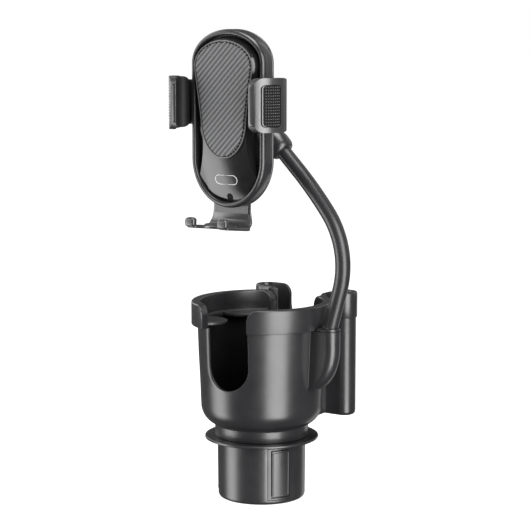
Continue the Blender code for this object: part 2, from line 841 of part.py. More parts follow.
def cup_round_ball(inner, outer, start, end, rows):
    """Profile of a spherical shell between two angles from its axis, (radius, height) pairs."""
    profile = []
    for i in range(rows + 1):
        angle = radians(start + (end - start) * i / rows)
        profile.append((max(0.0, outer * sin(angle)), outer * cos(angle)))
    for i in range(rows + 1):
        angle = radians(end + (start - end) * i / rows)
        profile.append((max(0.0, inner * sin(angle)), inner * cos(angle)))
    return profile


def ball_seat(parent):
    profile = cup_round_ball(BALL_R + 0.35, BALL_R + 1.7, 0, 55, 4)
    made = turned(profile, 18, facing((0, BALL_Y, ELBOW[2]), (0, -1, 0)))
    return piece(made, "ball_seat", "soft_black", parent)


def collet_ring(parent):
    """Split ring that grips the ball from behind."""
    profile = cup_round_ball(BALL_R + 0.35, BALL_R + 1.7, 52, 88, 3)
    made = turned(profile, 18, facing((0, BALL_Y, ELBOW[2]), (0, 1, 0)))
    return piece(made, "collet_ring", "soft_black", parent)


def swivel_nut(parent):
    """Knurled nut that tightens the collet on the ball."""
    profile = (
        (11.6, -8.3),
        (12.4, -8.3),
        (13.0, -7.6),
        (13.0, 5.4),
        (11.4, 8.4),
        (9.4, 8.4),
        (8.7, 7.4),
        (8.7, 6.9),
        (11.0, 6.0),
        (11.6, 5.0),
    )
    nut = turned(profile, 24, facing((0, BALL_Y, ELBOW[2]), (0, 1, 0)))
    return piece(nut, "swivel_nut", "satin_black", parent)


# ---------------------------------------------------------------- cradle


def ellipse_width(z, centre, half_width, reach):
    return half_width * sqrt(max(0.0, 1 - ((z - centre) / reach) ** 2))


def cradle_half_width(z, inset=0.0):
    low, high = CRADLE_Z
    top_start = high - CRADLE_TOP_ARC
    bottom_start = low + CRADLE_BOTTOM_ARC
    half = CRADLE_HALF_WIDTH - inset
    if z > top_start:
        return ellipse_width(z, top_start, half, CRADLE_TOP_ARC - inset)
    if z < bottom_start:
        return ellipse_width(z, bottom_start, half, CRADLE_BOTTOM_ARC - inset)
    return half


def waisted(z, wide, narrow, reach):
    """Half width of a shape that is widest near the top and tapers to the waist."""
    if z > ISLAND_TOP_Z:
        return ellipse_width(z, ISLAND_TOP_Z, wide, reach)
    return narrow + (z - ISLAND_WAIST_Z) * (wide - narrow) / (ISLAND_TOP_Z - ISLAND_WAIST_Z)


def island_half_width(z):
    """Half width of the raised island's top, round below the waist."""
    wide, narrow = ISLAND_HALF_WIDTHS
    if z < ISLAND_WAIST_Z:
        return ellipse_width(z, ISLAND_WAIST_Z, narrow, 27.5)
    return waisted(z, wide, narrow, 19.4)


def island_foot_half_width(z):
    """Half width of the island where it meets the recess, flaring again at the bottom."""
    wide, narrow = ISLAND_FOOT_HALF_WIDTHS
    if z < ISLAND_WAIST_Z:
        flared = narrow + (ISLAND_WAIST_Z - z) * 0.02
        return min(flared, cradle_half_width(z, FRAME_WALL + 1.0))
    return waisted(z, wide, narrow, 22.0)


def upright_outline(half_width, low, high, rows):
    """Outline of (x, z) from a half width that depends on the height."""
    right = []
    for i in range(rows + 1):
        z = (low + high) / 2 - (high - low) / 2 * cos(pi * i / rows)
        right.append((half_width(z), z))
    right[0] = (0.0, low)
    right[-1] = (0.0, high)
    return right + [(-x, z) for x, z in right[-2:0:-1]]


def depth(distance):
    """Y of a plane a distance behind the cradle's front plane."""
    return FACE_Y + distance


def cradle_outline(inset, rows=20):
    low, high = CRADLE_Z
    return upright_outline(lambda z: cradle_half_width(z, inset), low + inset, high - inset, rows)


def stacked_y(*levels):
    """A solid through (outline, depth) pairs whose outlines have equal numbers of points."""
    return loft([[(x, depth(d), z) for x, z in outline] for outline, d in levels])


def front_frame(parent):
    """Rim of the cradle, open at the front and back, slotted for the clamps and the foot."""
    frame = stacked_y(
        (cradle_outline(1.6), 0),
        (cradle_outline(0.5), 0.6),
        (cradle_outline(0), 2.0),
        (cradle_outline(0), FRAME_DEPTH),
    )
    cut(frame, stacked_y((cradle_outline(FRAME_WALL), -1), (cradle_outline(FRAME_WALL), 12)))
    plate_low, plate_high = CLAMP_PLATE_Z
    shallow, deep = CLAMP_PLATE_DEPTH
    clamp_slot = box(
        (-40, depth(shallow - GAP), plate_low - GAP),
        (40, depth(deep + GAP), plate_high + GAP),
    )
    foot_slot = box(
        (-16.4, depth(FOOT_PLATE_DEPTH[0] - GAP), 210), (16.4, depth(FRAME_DEPTH + 1), 240)
    )
    cut(frame, clamp_slot, foot_slot)
    return piece(frame, "front_frame", "satin_black", parent)


def face_plate(parent):
    """Glossy face inside the rim: a recess floor with a raised island, hollow behind."""
    inset = FRAME_WALL + 0.35
    rows = 20
    plate = stacked_y((cradle_outline(inset), 1.6), (cradle_outline(inset), 4.3))
    foot = upright_outline(island_foot_half_width, 226.5, 343.6, rows)
    top = upright_outline(island_half_width, 256.6, 341.4, rows)
    join(plate, stacked_y((foot, 3.0), (foot, 1.0), (top, -FACE_RISE)))
    inner_foot = upright_outline(lambda z: island_half_width(z) * 0.86, 260, 338, rows)
    cut(plate, stacked_y((inner_foot, 5.0), (inner_foot, -FACE_RISE + 2.2)))
    for x, z in CRADLE_SCREWS:
        join(plate, cylinder(3.0, (x, depth(4.0), z), (x, depth(FRAME_DEPTH), z), 14))
        cut(plate, cylinder(1.6, (x, depth(3.0), z), (x, depth(FRAME_DEPTH + 1), z), 12))
    return piece(plate, "face_plate", "gloss_black", parent)


def face_pad(parent):
    rows = 20
    outline = upright_outline(lambda z: island_half_width(z) - 0.9, 257.5, 340.5, rows)
    inner = upright_outline(lambda z: max(0.2, island_half_width(z) - 1.4), 258.1, 339.9, rows)
    front = -FACE_RISE - 0.3 - PAD_THICK
    pad = stacked_y((outline, -FACE_RISE - 0.3), (outline, front + 0.4), (inner, front))
    return piece(pad, "face_pad", "weave_grey", parent)


def rear_cover(parent):
    """Back shell with the threaded boss round the ball."""
    back = CRADLE_THICK
    cover = stacked_y(
        (cradle_outline(0), FRAME_DEPTH + 0.3),
        (cradle_outline(0), back - 1.6),
        (cradle_outline(1.8), back),
    )
    ball = Vector((0, BALL_Y, ELBOW[2]))
    join(cover, cylinder(11.2, ball + Vector((0, -10.8, 0)), ball + Vector((0, 3.0, 0)), 30))
    cut(cover, cylinder(10.65, ball + Vector((0, -10.5, 0)), ball + Vector((0, 6, 0)), 30))
    for x, z in CRADLE_SCREWS:
        cut(
            cover,
            cylinder(1.6, (x, depth(8), z), (x, depth(14), z), 12),
            cylinder(2.9, (x, depth(10.6), z), (x, depth(14), z), 14),
        )
    return piece(cover, "rear_cover", "satin_black", parent)


def cradle_screws(parent):
    for number, (x, z) in enumerate(CRADLE_SCREWS, 1):
        made = screw(2.5, 1.0, 1.2, 7.6, (x, depth(11.9), z), (0, -1, 0))
        piece(made, f"cradle_screw_{number}", "zinc_steel", parent)


def jaw_curve(inward, start=0, end=6):
    """The jaw's outer face in plan from its front lip to its root, moved inwards."""
    points = []
    for index, (forward, x) in enumerate(JAW_CURVE[start : end + 1], start):
        ahead = JAW_CURVE[min(index + 1, len(JAW_CURVE) - 1)]
        behind = JAW_CURVE[max(index - 1, 0)]
        along = Vector((ahead[0] - behind[0], ahead[1] - behind[1])).normalized()
        points.append((x + inward * along[0], depth(-forward) - inward * along[1]))
    return points


def jaw_slab(outer, inner, low, high):
    """A shell between two plan curves, from one height to another."""
    return slab_z(list(outer) + list(inner)[::-1], low, high)


def clamp(side, parent):
    """Jaw, sliding root plate and cam pin, made for the +X side."""
    low, high = CLAMP_Z
    jaw = jaw_slab(jaw_curve(0), jaw_curve(JAW_THICK), low, high)
    shape = rounded_box_outline((depth(-27), low), (depth(6.5), high), 4.5, 3)
    keep_inside(jaw, slab_x(shape, 20, 60))
    shallow, deep = CLAMP_PLATE_DEPTH
    plate = box(
        (CLAMP_PIN[0] - 2.8, depth(shallow), CLAMP_PLATE_Z[0]),
        (44.6, depth(deep), CLAMP_PLATE_Z[1]),
    )
    x, z = CLAMP_PIN
    pin = cylinder(1.5, (x, depth(deep - 0.8), z), (x, depth(FOOT_PLATE_DEPTH[1]), z), 14)
    join(jaw, plate, pin)
    window = jaw_slab(jaw_curve(-2, 1, 3), jaw_curve(1.3, 1, 3), 280.4, 310.6)
    cut(jaw, window)
    name = "left" if side < 0 else "right"
    pad = jaw_slab(
        jaw_curve(JAW_THICK + 0.35, 0, 4), jaw_curve(JAW_THICK + 1.6, 0, 4), low + 4, high - 4
    )
    grip = jaw_slab(jaw_curve(-0.5, 1, 3), jaw_curve(0.95, 1, 3), 280.9, 310.1)
    keep_inside(grip, box((30, depth(-15.6), 270), (60, depth(-4.4), 320)))
    for shape, title, look in (
        (jaw, "clamp", "satin_black"),
        (pad, "jaw_pad", "soft_black"),
        (grip, "grip", "soft_black"),
    ):
        if side < 0:
            mirrored(shape)
        piece(shape, f"{title}_{name}", look, parent)


def cam_slot(side):
    """Diagonal slot in the foot's plate that a clamp's pin follows."""
    x, z = CLAMP_PIN
    run = CLAMP_RATIO * FOOT_TRAVEL
    start = Vector((x - run, 0, z + FOOT_TRAVEL))
    end = Vector((x + run, 0, z - FOOT_TRAVEL))
    half = 1.9
    along = (end - start).normalized()
    across = Vector((along.z, 0, -along.x)) * half
    outline = []
    for point, turn in ((end, 0), (start, 180)):
        base = atan2(across.z, across.x)
        for i in range(5):
            angle = base + radians(turn) + pi * i / 4
            outline.append((point.x + half * cos(angle), point.z + half * sin(angle)))
    outline = [(side * px, pz) for px, pz in outline]
    return slab_y(outline, depth(FOOT_PLATE_DEPTH[0] - 1), depth(FOOT_PLATE_DEPTH[1] + 1))


def foot(parent):
    """Cam plate, neck and forked shelf that carries the phone."""
    shallow, deep = (depth(d) for d in FOOT_PLATE_DEPTH)
    floor_low, floor_high = FOOT_FLOOR_Z
    half = 15.9
    body = box((-half, shallow, 216), (half, deep, CAM_PLATE_Z[0] + 3))
    join(body, box((-23, shallow, CAM_PLATE_Z[0]), (23, deep, CAM_PLATE_Z[1])))
    bend = 9.0
    outer = arc((deep - bend, floor_low + bend), (bend, bend), 0, -90, 5)
    inner = arc((shallow - 7, floor_high + 7), (7, 7), -90, 0, 4)
    front = depth(-27)
    hook = [
        (front + 1.5, floor_low),
        (front - 0.6, floor_low + 1.6),
        (front - 2.0, 215.6),
        (front - 0.8, 216.5),
        (front + 0.8, 215.8),
        (front + 2.6, floor_high + 0.8),
        (front + 3.6, floor_high),
    ]
    profile = [(deep, 218)] + outer + hook + inner + [(shallow, 218)]
    shelf = slab_x(profile, -18.2, 18.2)
    gap = [(-9.8, depth(-45)), (9.8, depth(-45))]
    gap += arc((0, depth(-13) - 9.8), (9.8, 9.8), 0, 180, 10)
    cut(shelf, slab_z(gap, 195, 225))
    join(body, shelf)
    cut(body, cam_slot(1), cam_slot(-1))
    return piece(body, "foot", "satin_black", parent)


def foot_pad(parent):
    floor = FOOT_FLOOR_Z[1] + 0.3
    outline = rounded_box_outline((-14, depth(-11.5)), (14, depth(-3)), 1.5, 2)
    pad = slab_z(outline, floor, floor + 1.0)
    return piece(pad, "foot_pad", "soft_black", parent)


def return_spring(parent):
    """Compression spring between the foot's plate and the top of the frame."""
    coil_r = 1.75
    wire_r = 0.35
    low, high = CAM_PLATE_Z[1] + 0.8, 338.0
    turns = 8
    steps = turns * 8
    places = []
    middle = depth(6.85)
    for i in range(steps + 1):
        angle = 2 * pi * turns * i / steps
        out = Vector((cos(angle), sin(angle), 0))
        z = low + (high - low) * i / steps
        places.append((Vector((0, middle, z)) + out * coil_r, out, Vector((0, 0, 1))))
    return piece(tube_along(places, wire_r, 4), "return_spring", "zinc_steel", parent)


# ---------------------------------------------------------------- assembly


def build():
    clear_scene()
    base_barrel()
    base_cover()
    base_screws()
    for name, azimuth in TAB_AZIMUTHS.items():
        expanding_tab(f"tab_{name}", azimuth)
    cup_axis = axis_empty("cup_axis", (0, 0, 0))
    cup_shell(cup_axis)
    cup_mat(cup_axis)
    cam_disc(cup_axis)
    centre_bolt(cup_axis)
    pocket_shell(cup_axis)
    arm_socket(cup_axis)
    socket_cap(cup_axis)
    cup_wall_screws(cup_axis)
    fin_ring("fin_ring_right", 29, cup_axis)
    fin_ring("fin_ring_left", 209, cup_axis)
    for number, azimuth in enumerate(FIN_AZIMUTHS, 1):
        fin(number, azimuth, cup_axis)
    neck_tip = gooseneck(cup_axis)
    arm_ferrule(neck_tip)
    ball_stud(neck_tip)
    ball = (0, BALL_Y, ELBOW[2])
    yaw = axis_empty("ball_yaw", ball, neck_tip)
    pitch = axis_empty("ball_pitch", ball, yaw)
    roll = axis_empty("ball_roll", ball, pitch)
    ball_seat(yaw)
    collet_ring(pitch)
    swivel_nut(axis_empty("nut_axis", ball, roll))
    rear_cover(roll)
    front_frame(roll)
    face_plate(roll)
    face_pad(roll)
    cradle_screws(roll)
    return_spring(roll)
    foot_slide = axis_empty("foot_slide", (0, depth(8), FOOT_FLOOR_Z[0]), roll)
    foot(foot_slide)
    foot_pad(foot_slide)
    for side, name in ((1, "right"), (-1, "left")):
        slide = axis_empty(f"clamp_{name}_slide", (side * CLAMP_PIN[0], depth(6), CLAMP_PIN[1]), roll)
        clamp(side, slide)


build()
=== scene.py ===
"""Looks of the car phone mount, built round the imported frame.

Lengths are millimetres until a mesh is made. The phone faces -Y, and azimuths are degrees from the
front (-Y) towards +X, as in the frame.
"""

import json
from math import acos, asin, atan2, cos, degrees, pi, radians, sin, sqrt

import bmesh
import bpy
import numpy as np
from mathutils import Matrix, Vector


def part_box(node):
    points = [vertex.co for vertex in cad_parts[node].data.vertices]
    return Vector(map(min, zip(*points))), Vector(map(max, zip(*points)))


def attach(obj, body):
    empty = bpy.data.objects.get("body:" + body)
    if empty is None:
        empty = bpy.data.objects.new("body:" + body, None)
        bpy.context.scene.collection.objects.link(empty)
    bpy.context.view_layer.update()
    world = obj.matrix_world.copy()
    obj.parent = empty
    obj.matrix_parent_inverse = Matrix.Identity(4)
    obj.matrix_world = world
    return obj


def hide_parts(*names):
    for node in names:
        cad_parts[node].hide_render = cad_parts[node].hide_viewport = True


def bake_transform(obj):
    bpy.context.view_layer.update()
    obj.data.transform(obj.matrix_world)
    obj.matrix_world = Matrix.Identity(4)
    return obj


MM = 0.001
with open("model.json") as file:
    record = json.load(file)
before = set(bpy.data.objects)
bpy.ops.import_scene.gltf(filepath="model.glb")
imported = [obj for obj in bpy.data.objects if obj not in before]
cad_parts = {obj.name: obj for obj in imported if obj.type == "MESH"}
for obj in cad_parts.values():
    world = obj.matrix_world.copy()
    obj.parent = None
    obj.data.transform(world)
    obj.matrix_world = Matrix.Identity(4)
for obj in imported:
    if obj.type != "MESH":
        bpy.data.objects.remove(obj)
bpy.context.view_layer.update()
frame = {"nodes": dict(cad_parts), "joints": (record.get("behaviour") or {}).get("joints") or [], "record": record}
joints = {joint["name"]: joint for joint in frame["joints"]}


def box_mm(node):
    low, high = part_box(node)
    return low / MM, high / MM


def pivot(joint):
    return Vector(joints[joint]["pos_m"]) / MM


# ---------------------------------------------------------------- meshes


def solid(points, faces):
    mesh = bpy.data.meshes.new("piece")
    mesh.from_pydata([Vector(p) * MM for p in points], [], faces)
    shell = bmesh.new()
    shell.from_mesh(mesh)
    bmesh.ops.recalc_face_normals(shell, faces=shell.faces)
    shell.to_mesh(mesh)
    shell.free()
    obj = bpy.data.objects.new("piece", mesh)
    bpy.context.scene.collection.objects.link(obj)
    return obj


def loft(rings, closed_path=False, caps=True):
    """Rings with equal numbers of points, bridged in order."""
    count = len(rings[0])
    points = [p for ring in rings for p in ring]
    faces = []
    levels = len(rings)
    for level in range(levels if closed_path else levels - 1):
        low = level * count
        high = (level + 1) % levels * count
        for i in range(count):
            after = (i + 1) % count
            faces.append([low + i, low + after, high + after, high + i])
    if caps and not closed_path:
        faces.append(list(range(count)))
        faces.append(list(range(len(points) - count, len(points))))
    return solid(points, faces)


def sheet(rows, wrap=False):
    """An open grid of quads through rows of points."""
    count = len(rows[0])
    points = [p for row in rows for p in row]
    faces = []
    for level in range(len(rows) - 1):
        for i in range(count if wrap else count - 1):
            after = (i + 1) % count
            low = level * count
            faces.append([low + i, low + after, low + count + after, low + count + i])
    return solid(points, faces)


def facing(point, direction):
    turn = Vector(direction).normalized().to_track_quat("Z", "Y").to_matrix().to_4x4()
    return Matrix.Translation(Vector(point)) @ turn


def turned(profile, steps, where=None, radius_at=None):
    """A closed profile of (radius, height) spun about Z, whose radius may vary with the angle."""
    rings = []
    for step in range(steps):
        angle = 2 * pi * step / steps
        ring = []
        for radius, height in profile:
            r = max(radius, 0.01)
            if radius_at:
                r = radius_at(r, height, angle)
            ring.append(Vector((r * sin(angle), -r * cos(angle), height)))
        rings.append([where @ p for p in ring] if where else ring)
    return loft(rings, closed_path=True)


def slab(outline, place, low, high):
    """An outline extruded between two levels; place turns (u, v, level) into a point."""
    return loft([[place(u, v, level) for u, v in outline] for level in (low, high)])


def along_x(u, v, level):
    return (level, u, v)


def along_y(u, v, level):
    return (u, level, v)


def along_z(u, v, level):
    return (u, v, level)


def box(low, high):
    (x0, y0, z0), (x1, y1, z1) = low, high
    return slab(((x0, y0), (x1, y0), (x1, y1), (x0, y1)), along_z, z0, z1)


def bake(obj):
    """Applies the object's modifiers."""
    graph = bpy.context.evaluated_depsgraph_get()
    graph.update()
    result = bpy.data.meshes.new_from_object(obj.evaluated_get(graph))
    obj.modifiers.clear()
    obj.data = result
    return obj


def boolean(obj, other, operation="DIFFERENCE"):
    modifier = obj.modifiers.new("step", "BOOLEAN")
    modifier.operation = operation
    modifier.solver = "EXACT"
    modifier.object = other
    bake(obj)
    bpy.data.objects.remove(other)
    return obj


def soften(obj, width, segments=2, angle=35):
    """Rounds the edges that are sharper than an angle."""
    modifier = obj.modifiers.new("soften", "BEVEL")
    modifier.width = width * MM
    modifier.segments = segments
    modifier.limit_method = "ANGLE"
    modifier.angle_limit = radians(angle)
    return bake(obj)


def thicken(obj, thickness):
    """Gives a sheet a wall, measured inwards from its outer face."""
    modifier = obj.modifiers.new("thicken", "SOLIDIFY")
    modifier.thickness = thickness * MM
    modifier.offset = -1
    modifier.use_even_offset = True
    return bake(obj)


def weld(obj, distance=0.002):
    shell = bmesh.new()
    shell.from_mesh(obj.data)
    bmesh.ops.remove_doubles(shell, verts=shell.verts, dist=distance * MM)
    bmesh.ops.recalc_face_normals(shell, faces=shell.faces)
    shell.to_mesh(obj.data)
    shell.free()
    return obj


def outward(obj, centre=(0, 0, 0)):
    """Turns a sheet's faces away from a centre line."""
    total = 0.0
    for face in obj.data.polygons:
        away = face.center - Vector(centre) * MM
        away.z = 0
        total += away.dot(face.normal)
    if total < 0:
        obj.data.flip_normals()
    return obj


def merged(objects):
    """Several shapes as one object."""
    whole = bmesh.new()
    for obj in objects:
        whole.from_mesh(obj.data)
    mesh = bpy.data.meshes.new("piece")
    whole.to_mesh(mesh)
    whole.free()
    for obj in objects:
        bpy.data.objects.remove(obj)
    made = bpy.data.objects.new("piece", mesh)
    bpy.context.scene.collection.objects.link(made)
    return made


def mirrored(obj):
    obj.data.transform(Matrix.Scale(-1, 4, Vector((1, 0, 0))))
    obj.data.flip_normals()
    return obj


def spun(obj, azimuth):
    obj.data.transform(Matrix.Rotation(radians(azimuth), 4, "Z"))
    return obj


def arc(centre, radii, start, end, count):
    points = []
    for i in range(count + 1):
        angle = radians(start + (end - start) * i / count)
        points.append((centre[0] + radii[0] * cos(angle), centre[1] + radii[1] * sin(angle)))
    return points


def rounded_box_outline(low, high, radius, count=6):
    (x0, y0), (x1, y1) = low, high
    corners = (
        ((x1 - radius, y0 + radius), -90),
        ((x1 - radius, y1 - radius), 0),
        ((x0 + radius, y1 - radius), 90),
        ((x0 + radius, y0 + radius), 180),
    )
    outline = []
    for centre, start in corners:
        outline += arc(centre, (radius, radius), start, start + 90, count)
    return outline


def spread(start, end, count):
    return [start + (end - start) * i / count for i in range(count + 1)]


def eased(start, end, count):
    """Values from start to end, closer together at both ends."""
    return [start + (end - start) * (1 - cos(pi * i / count)) / 2 for i in range(count + 1)]


# ---------------------------------------------------------------- materials


class Nodes:
    """Short calls for a material's node tree."""

    def __init__(self, name):
        self.material = bpy.data.materials.new(name)
        self.material.use_nodes = True
        self.tree = self.material.node_tree
        self.shader = self.tree.nodes["Principled BSDF"]
        self.place = self.add("ShaderNodeTexCoord").outputs["Object"]

    def add(self, kind, **settings):
        node = self.tree.nodes.new(kind)
        for key, value in settings.items():
            if key in node.inputs:
                node.inputs[key].default_value = value
            else:
                setattr(node, key, value)
        return node

    def link(self, source, target):
        self.tree.links.new(source, target)

    def noise(self, scale, detail=2.0, roughness=0.5):
        node = self.add("ShaderNodeTexNoise", Scale=scale, Detail=detail, Roughness=roughness)
        self.link(self.place, node.inputs["Vector"])
        return node.outputs["Fac"]

    def ranged(self, source, low, high, start=0.3, end=0.7):
        node = self.add("ShaderNodeMapRange")
        node.inputs["From Min"].default_value = start
        node.inputs["From Max"].default_value = end
        node.inputs["To Min"].default_value = low
        node.inputs["To Max"].default_value = high
        self.link(source, node.inputs["Value"])
        return node.outputs["Result"]

    def mix(self, factor, dark, light):
        node = self.add("ShaderNodeMix", data_type="RGBA")
        self.link(factor, node.inputs["Factor"])
        node.inputs["A"].default_value = (*dark, 1)
        node.inputs["B"].default_value = (*light, 1)
        return node.outputs["Result"]

    def maths(self, operation, first, second):
        node = self.add("ShaderNodeMath", operation=operation)
        for index, value in enumerate((first, second)):
            if isinstance(value, (int, float)):
                node.inputs[index].default_value = value
            else:
                self.link(value, node.inputs[index])
        return node.outputs["Value"]

    def bump(self, height, strength, distance, after=None):
        node = self.add("ShaderNodeBump", Strength=strength, Distance=distance * MM)
        self.link(height, node.inputs["Height"])
        if after:
            self.link(after, node.inputs["Normal"])
        return node.outputs["Normal"]


def moulded(name, colour, roughness, grain, depth, coat=0.0, spread_of=0.03, specular=0.5):
    """Plastic or rubber: fine moulded grain, uneven sheen, a little handling wear and dust."""
    made = Nodes(name)
    fine = made.noise(grain, 3.0, 0.6)
    broad = made.noise(38, 4.0, 0.55)
    smudge = made.noise(160, 3.0, 0.6)
    lighter = tuple(c * 1.22 + 0.002 for c in colour)
    made.link(made.mix(made.ranged(broad, 0, 1), colour, lighter), made.shader.inputs["Base Color"])
    uneven = made.maths("ADD", made.ranged(broad, -spread_of, spread_of), roughness)
    uneven = made.maths("ADD", uneven, made.ranged(smudge, -spread_of / 2, spread_of / 2))
    made.link(uneven, made.shader.inputs["Roughness"])
    made.link(made.bump(fine, 0.5, depth), made.shader.inputs["Normal"])
    made.shader.inputs["Coat Weight"].default_value = coat
    made.shader.inputs["Coat Roughness"].default_value = 0.06
    made.shader.inputs["Specular IOR Level"].default_value = specular
    return made.material


def plated(name, colour, roughness, brush):
    """Metal with fine directional scratches."""
    made = Nodes(name)
    stretch = made.add("ShaderNodeMapping")
    stretch.inputs["Scale"].default_value = (1, 1, 14)
    made.link(made.place, stretch.inputs["Vector"])
    lines = made.add("ShaderNodeTexNoise", Scale=brush, Detail=3.0)
    made.link(stretch.outputs["Vector"], lines.inputs["Vector"])
    tint = made.ranged(made.noise(120), 0, 1)
    darker = tuple(c * 0.82 for c in colour)
    made.link(made.mix(tint, darker, colour), made.shader.inputs["Base Color"])
    made.link(
        made.maths("ADD", made.ranged(lines.outputs["Fac"], -0.06, 0.08), roughness),
        made.shader.inputs["Roughness"],
    )
    made.link(made.bump(lines.outputs["Fac"], 0.25, 0.02), made.shader.inputs["Normal"])
    made.shader.inputs["Metallic"].default_value = 1.0
    return made.material


def woven(name, dark, light):
    """Rubber with a twill emboss: diagonal ribs crossed by short threads."""
    made = Nodes(name)
    apart = made.add("ShaderNodeSeparateXYZ")
    made.link(made.place, apart.inputs["Vector"])
    x, z = apart.outputs["X"], apart.outputs["Z"]
    pitch = TWILL_PITCH * MM
    diagonal = made.maths("ADD", made.maths("MULTIPLY", x, TWILL_ACROSS), made.maths("MULTIPLY", z, -TWILL_UP))
    rib = made.maths("SINE", made.maths("MULTIPLY", diagonal, 2 * pi / pitch), 0.0)
    thread = made.maths("SINE", made.maths("MULTIPLY", x, 2 * pi / (0.62 * MM)), 0.0)
    tone = made.maths("ADD", made.ranged(rib, 0.05, 0.85, -1, 1), made.ranged(thread, -0.08, 0.08, -1, 1))
    tone = made.maths("ADD", tone, made.ranged(made.noise(900, 2.0), -0.08, 0.08))
    made.link(made.mix(tone, dark, light), made.shader.inputs["Base Color"])
    made.link(made.ranged(rib, 0.55, 0.38, -1, 1), made.shader.inputs["Roughness"])
    height = made.maths("ADD", made.maths("MULTIPLY", thread, 0.3), made.noise(2600, 2.0))
    made.link(made.bump(height, 0.35, 0.05), made.shader.inputs["Normal"])
    return made.material


TWILL_PITCH = 3.0
TWILL_ACROSS = 0.71
TWILL_UP = 0.70

LOOK = {
    "satin_black": moulded("satin_black", (0.011, 0.011, 0.012), 0.31, 4200, 0.004, specular=0.6),
    "gloss_black": moulded("gloss_black", (0.004, 0.004, 0.004), 0.19, 900, 0.002, 0.12, 0.02, specular=0.42),
    "soft_black": moulded("soft_black", (0.012, 0.012, 0.012), 0.50, 5000, 0.008),
    "neck_black": moulded("neck_black", (0.011, 0.011, 0.012), 0.34, 5000, 0.005),
    "deep_black": moulded("deep_black", (0.004, 0.004, 0.004), 0.70, 4000, 0.02, specular=0.12),
    "face_grey": moulded("face_grey", (0.020, 0.020, 0.021), 0.18, 900, 0.002, 0.4, 0.03),
    "badge_grey": moulded("badge_grey", (0.42, 0.42, 0.43), 0.35, 2000, 0.005),
    "weave_grey": woven("weave_grey", (0.020, 0.020, 0.021), (0.12, 0.12, 0.124)),
    "zinc_steel": plated("zinc_steel", (0.55, 0.55, 0.57), 0.28, 420),
    "chrome_ball": plated("chrome_ball", (0.30, 0.30, 0.31), 0.14, 300),
}


def smooth(obj, crease):
    obj.data.shade_smooth()
    obj.data.set_sharp_from_angle(angle=radians(crease))


def done(obj, name, body, look, *replaced, crease=38):
    """Names a finished piece, gives it its look and puts it on its body when one is given."""
    obj.name = name
    obj.data.name = name
    obj.data.materials.clear()
    obj.data.materials.append(LOOK[look])
    smooth(obj, crease)
    if body:
        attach(obj, body)
    if replaced:
        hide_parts(*replaced)
    return obj


# ---------------------------------------------------------------- base

barrel_low, barrel_high = box_mm("base_barrel")
tab_low, tab_high = box_mm("tab_rear")
FLANGE_R = barrel_high.x
FLANGE_TOP = barrel_high.z
FLANGE_THICK = 2.0
BARREL_R = (32.5, 32.9)
WINDOW_GAP = 0.4
TAB_AZIMUTHS = {"right": 60, "rear": 180, "left": 300}


def barrel_radius(z):
    return BARREL_R[0] + (BARREL_R[1] - BARREL_R[0]) * z / FLANGE_TOP


def drum_point(azimuth, radius, z):
    return (radius * sin(azimuth), -radius * cos(azimuth), z)


def base_drum():
    """Barrel wall with three windows for the tabs, rounded at its foot."""
    half = tab_high.x + WINDOW_GAP
    window = asin(half / BARREL_R[1])
    heights = [0.0, 0.12, 0.45, 1.0, 1.8, 2.9, tab_low.z - WINDOW_GAP]
    heights += spread(heights[-1], tab_high.z + WINDOW_GAP, 6)[1:] + [43.6, 44.75]
    azimuths = []
    for azimuth in TAB_AZIMUTHS.values():
        middle = radians(azimuth)
        azimuths += spread(middle - window, middle + window, 8)[:-1]
        azimuths += spread(middle + window, middle + radians(120) - window, 20)[:-1]
    fillet = {0.0: 1.9, 0.12: 1.35, 0.45: 0.8, 1.0: 0.38, 1.8: 0.12}
    rows = [
        [drum_point(a, barrel_radius(z) - fillet.get(z, 0), z) for a in azimuths] for z in heights
    ]
    drum = outward(sheet(rows, wrap=True))
    shell = bmesh.new()
    shell.from_mesh(drum.data)
    gone = []
    for face in shell.faces:
        centre = face.calc_center_median() / MM
        inside = tab_low.z - WINDOW_GAP < centre.z < tab_high.z + WINDOW_GAP
        for azimuth in TAB_AZIMUTHS.values():
            away = atan2(centre.x, -centre.y) - radians(azimuth)
            away = (away + pi) % (2 * pi) - pi
            if inside and abs(away) < window:
                gone.append(face)
    bmesh.ops.delete(shell, geom=gone, context="FACES")
    shell.to_mesh(drum.data)
    shell.free()
    soften(thicken(drum, 2.2), 0.25, 2, 50)
    done(drum, "base_drum", "base", "satin_black", "base_barrel")


def base_flange():
    top, under, r = FLANGE_TOP, FLANGE_TOP - FLANGE_THICK, FLANGE_R
    rim = arc((r - 0.7, top - 0.7), (0.7, 0.7), 90, 0, 4) + arc((r - 0.6, under + 0.6), (0.6, 0.6), 0, -90, 4)
    profile = [(9.2, top), (20, top)] + rim + [(33.6, under), (33.0, under - 0.35), (30.5, under - 0.4), (9.2, under)]
    done(turned(profile, 128), "base_flange", "base", "satin_black")


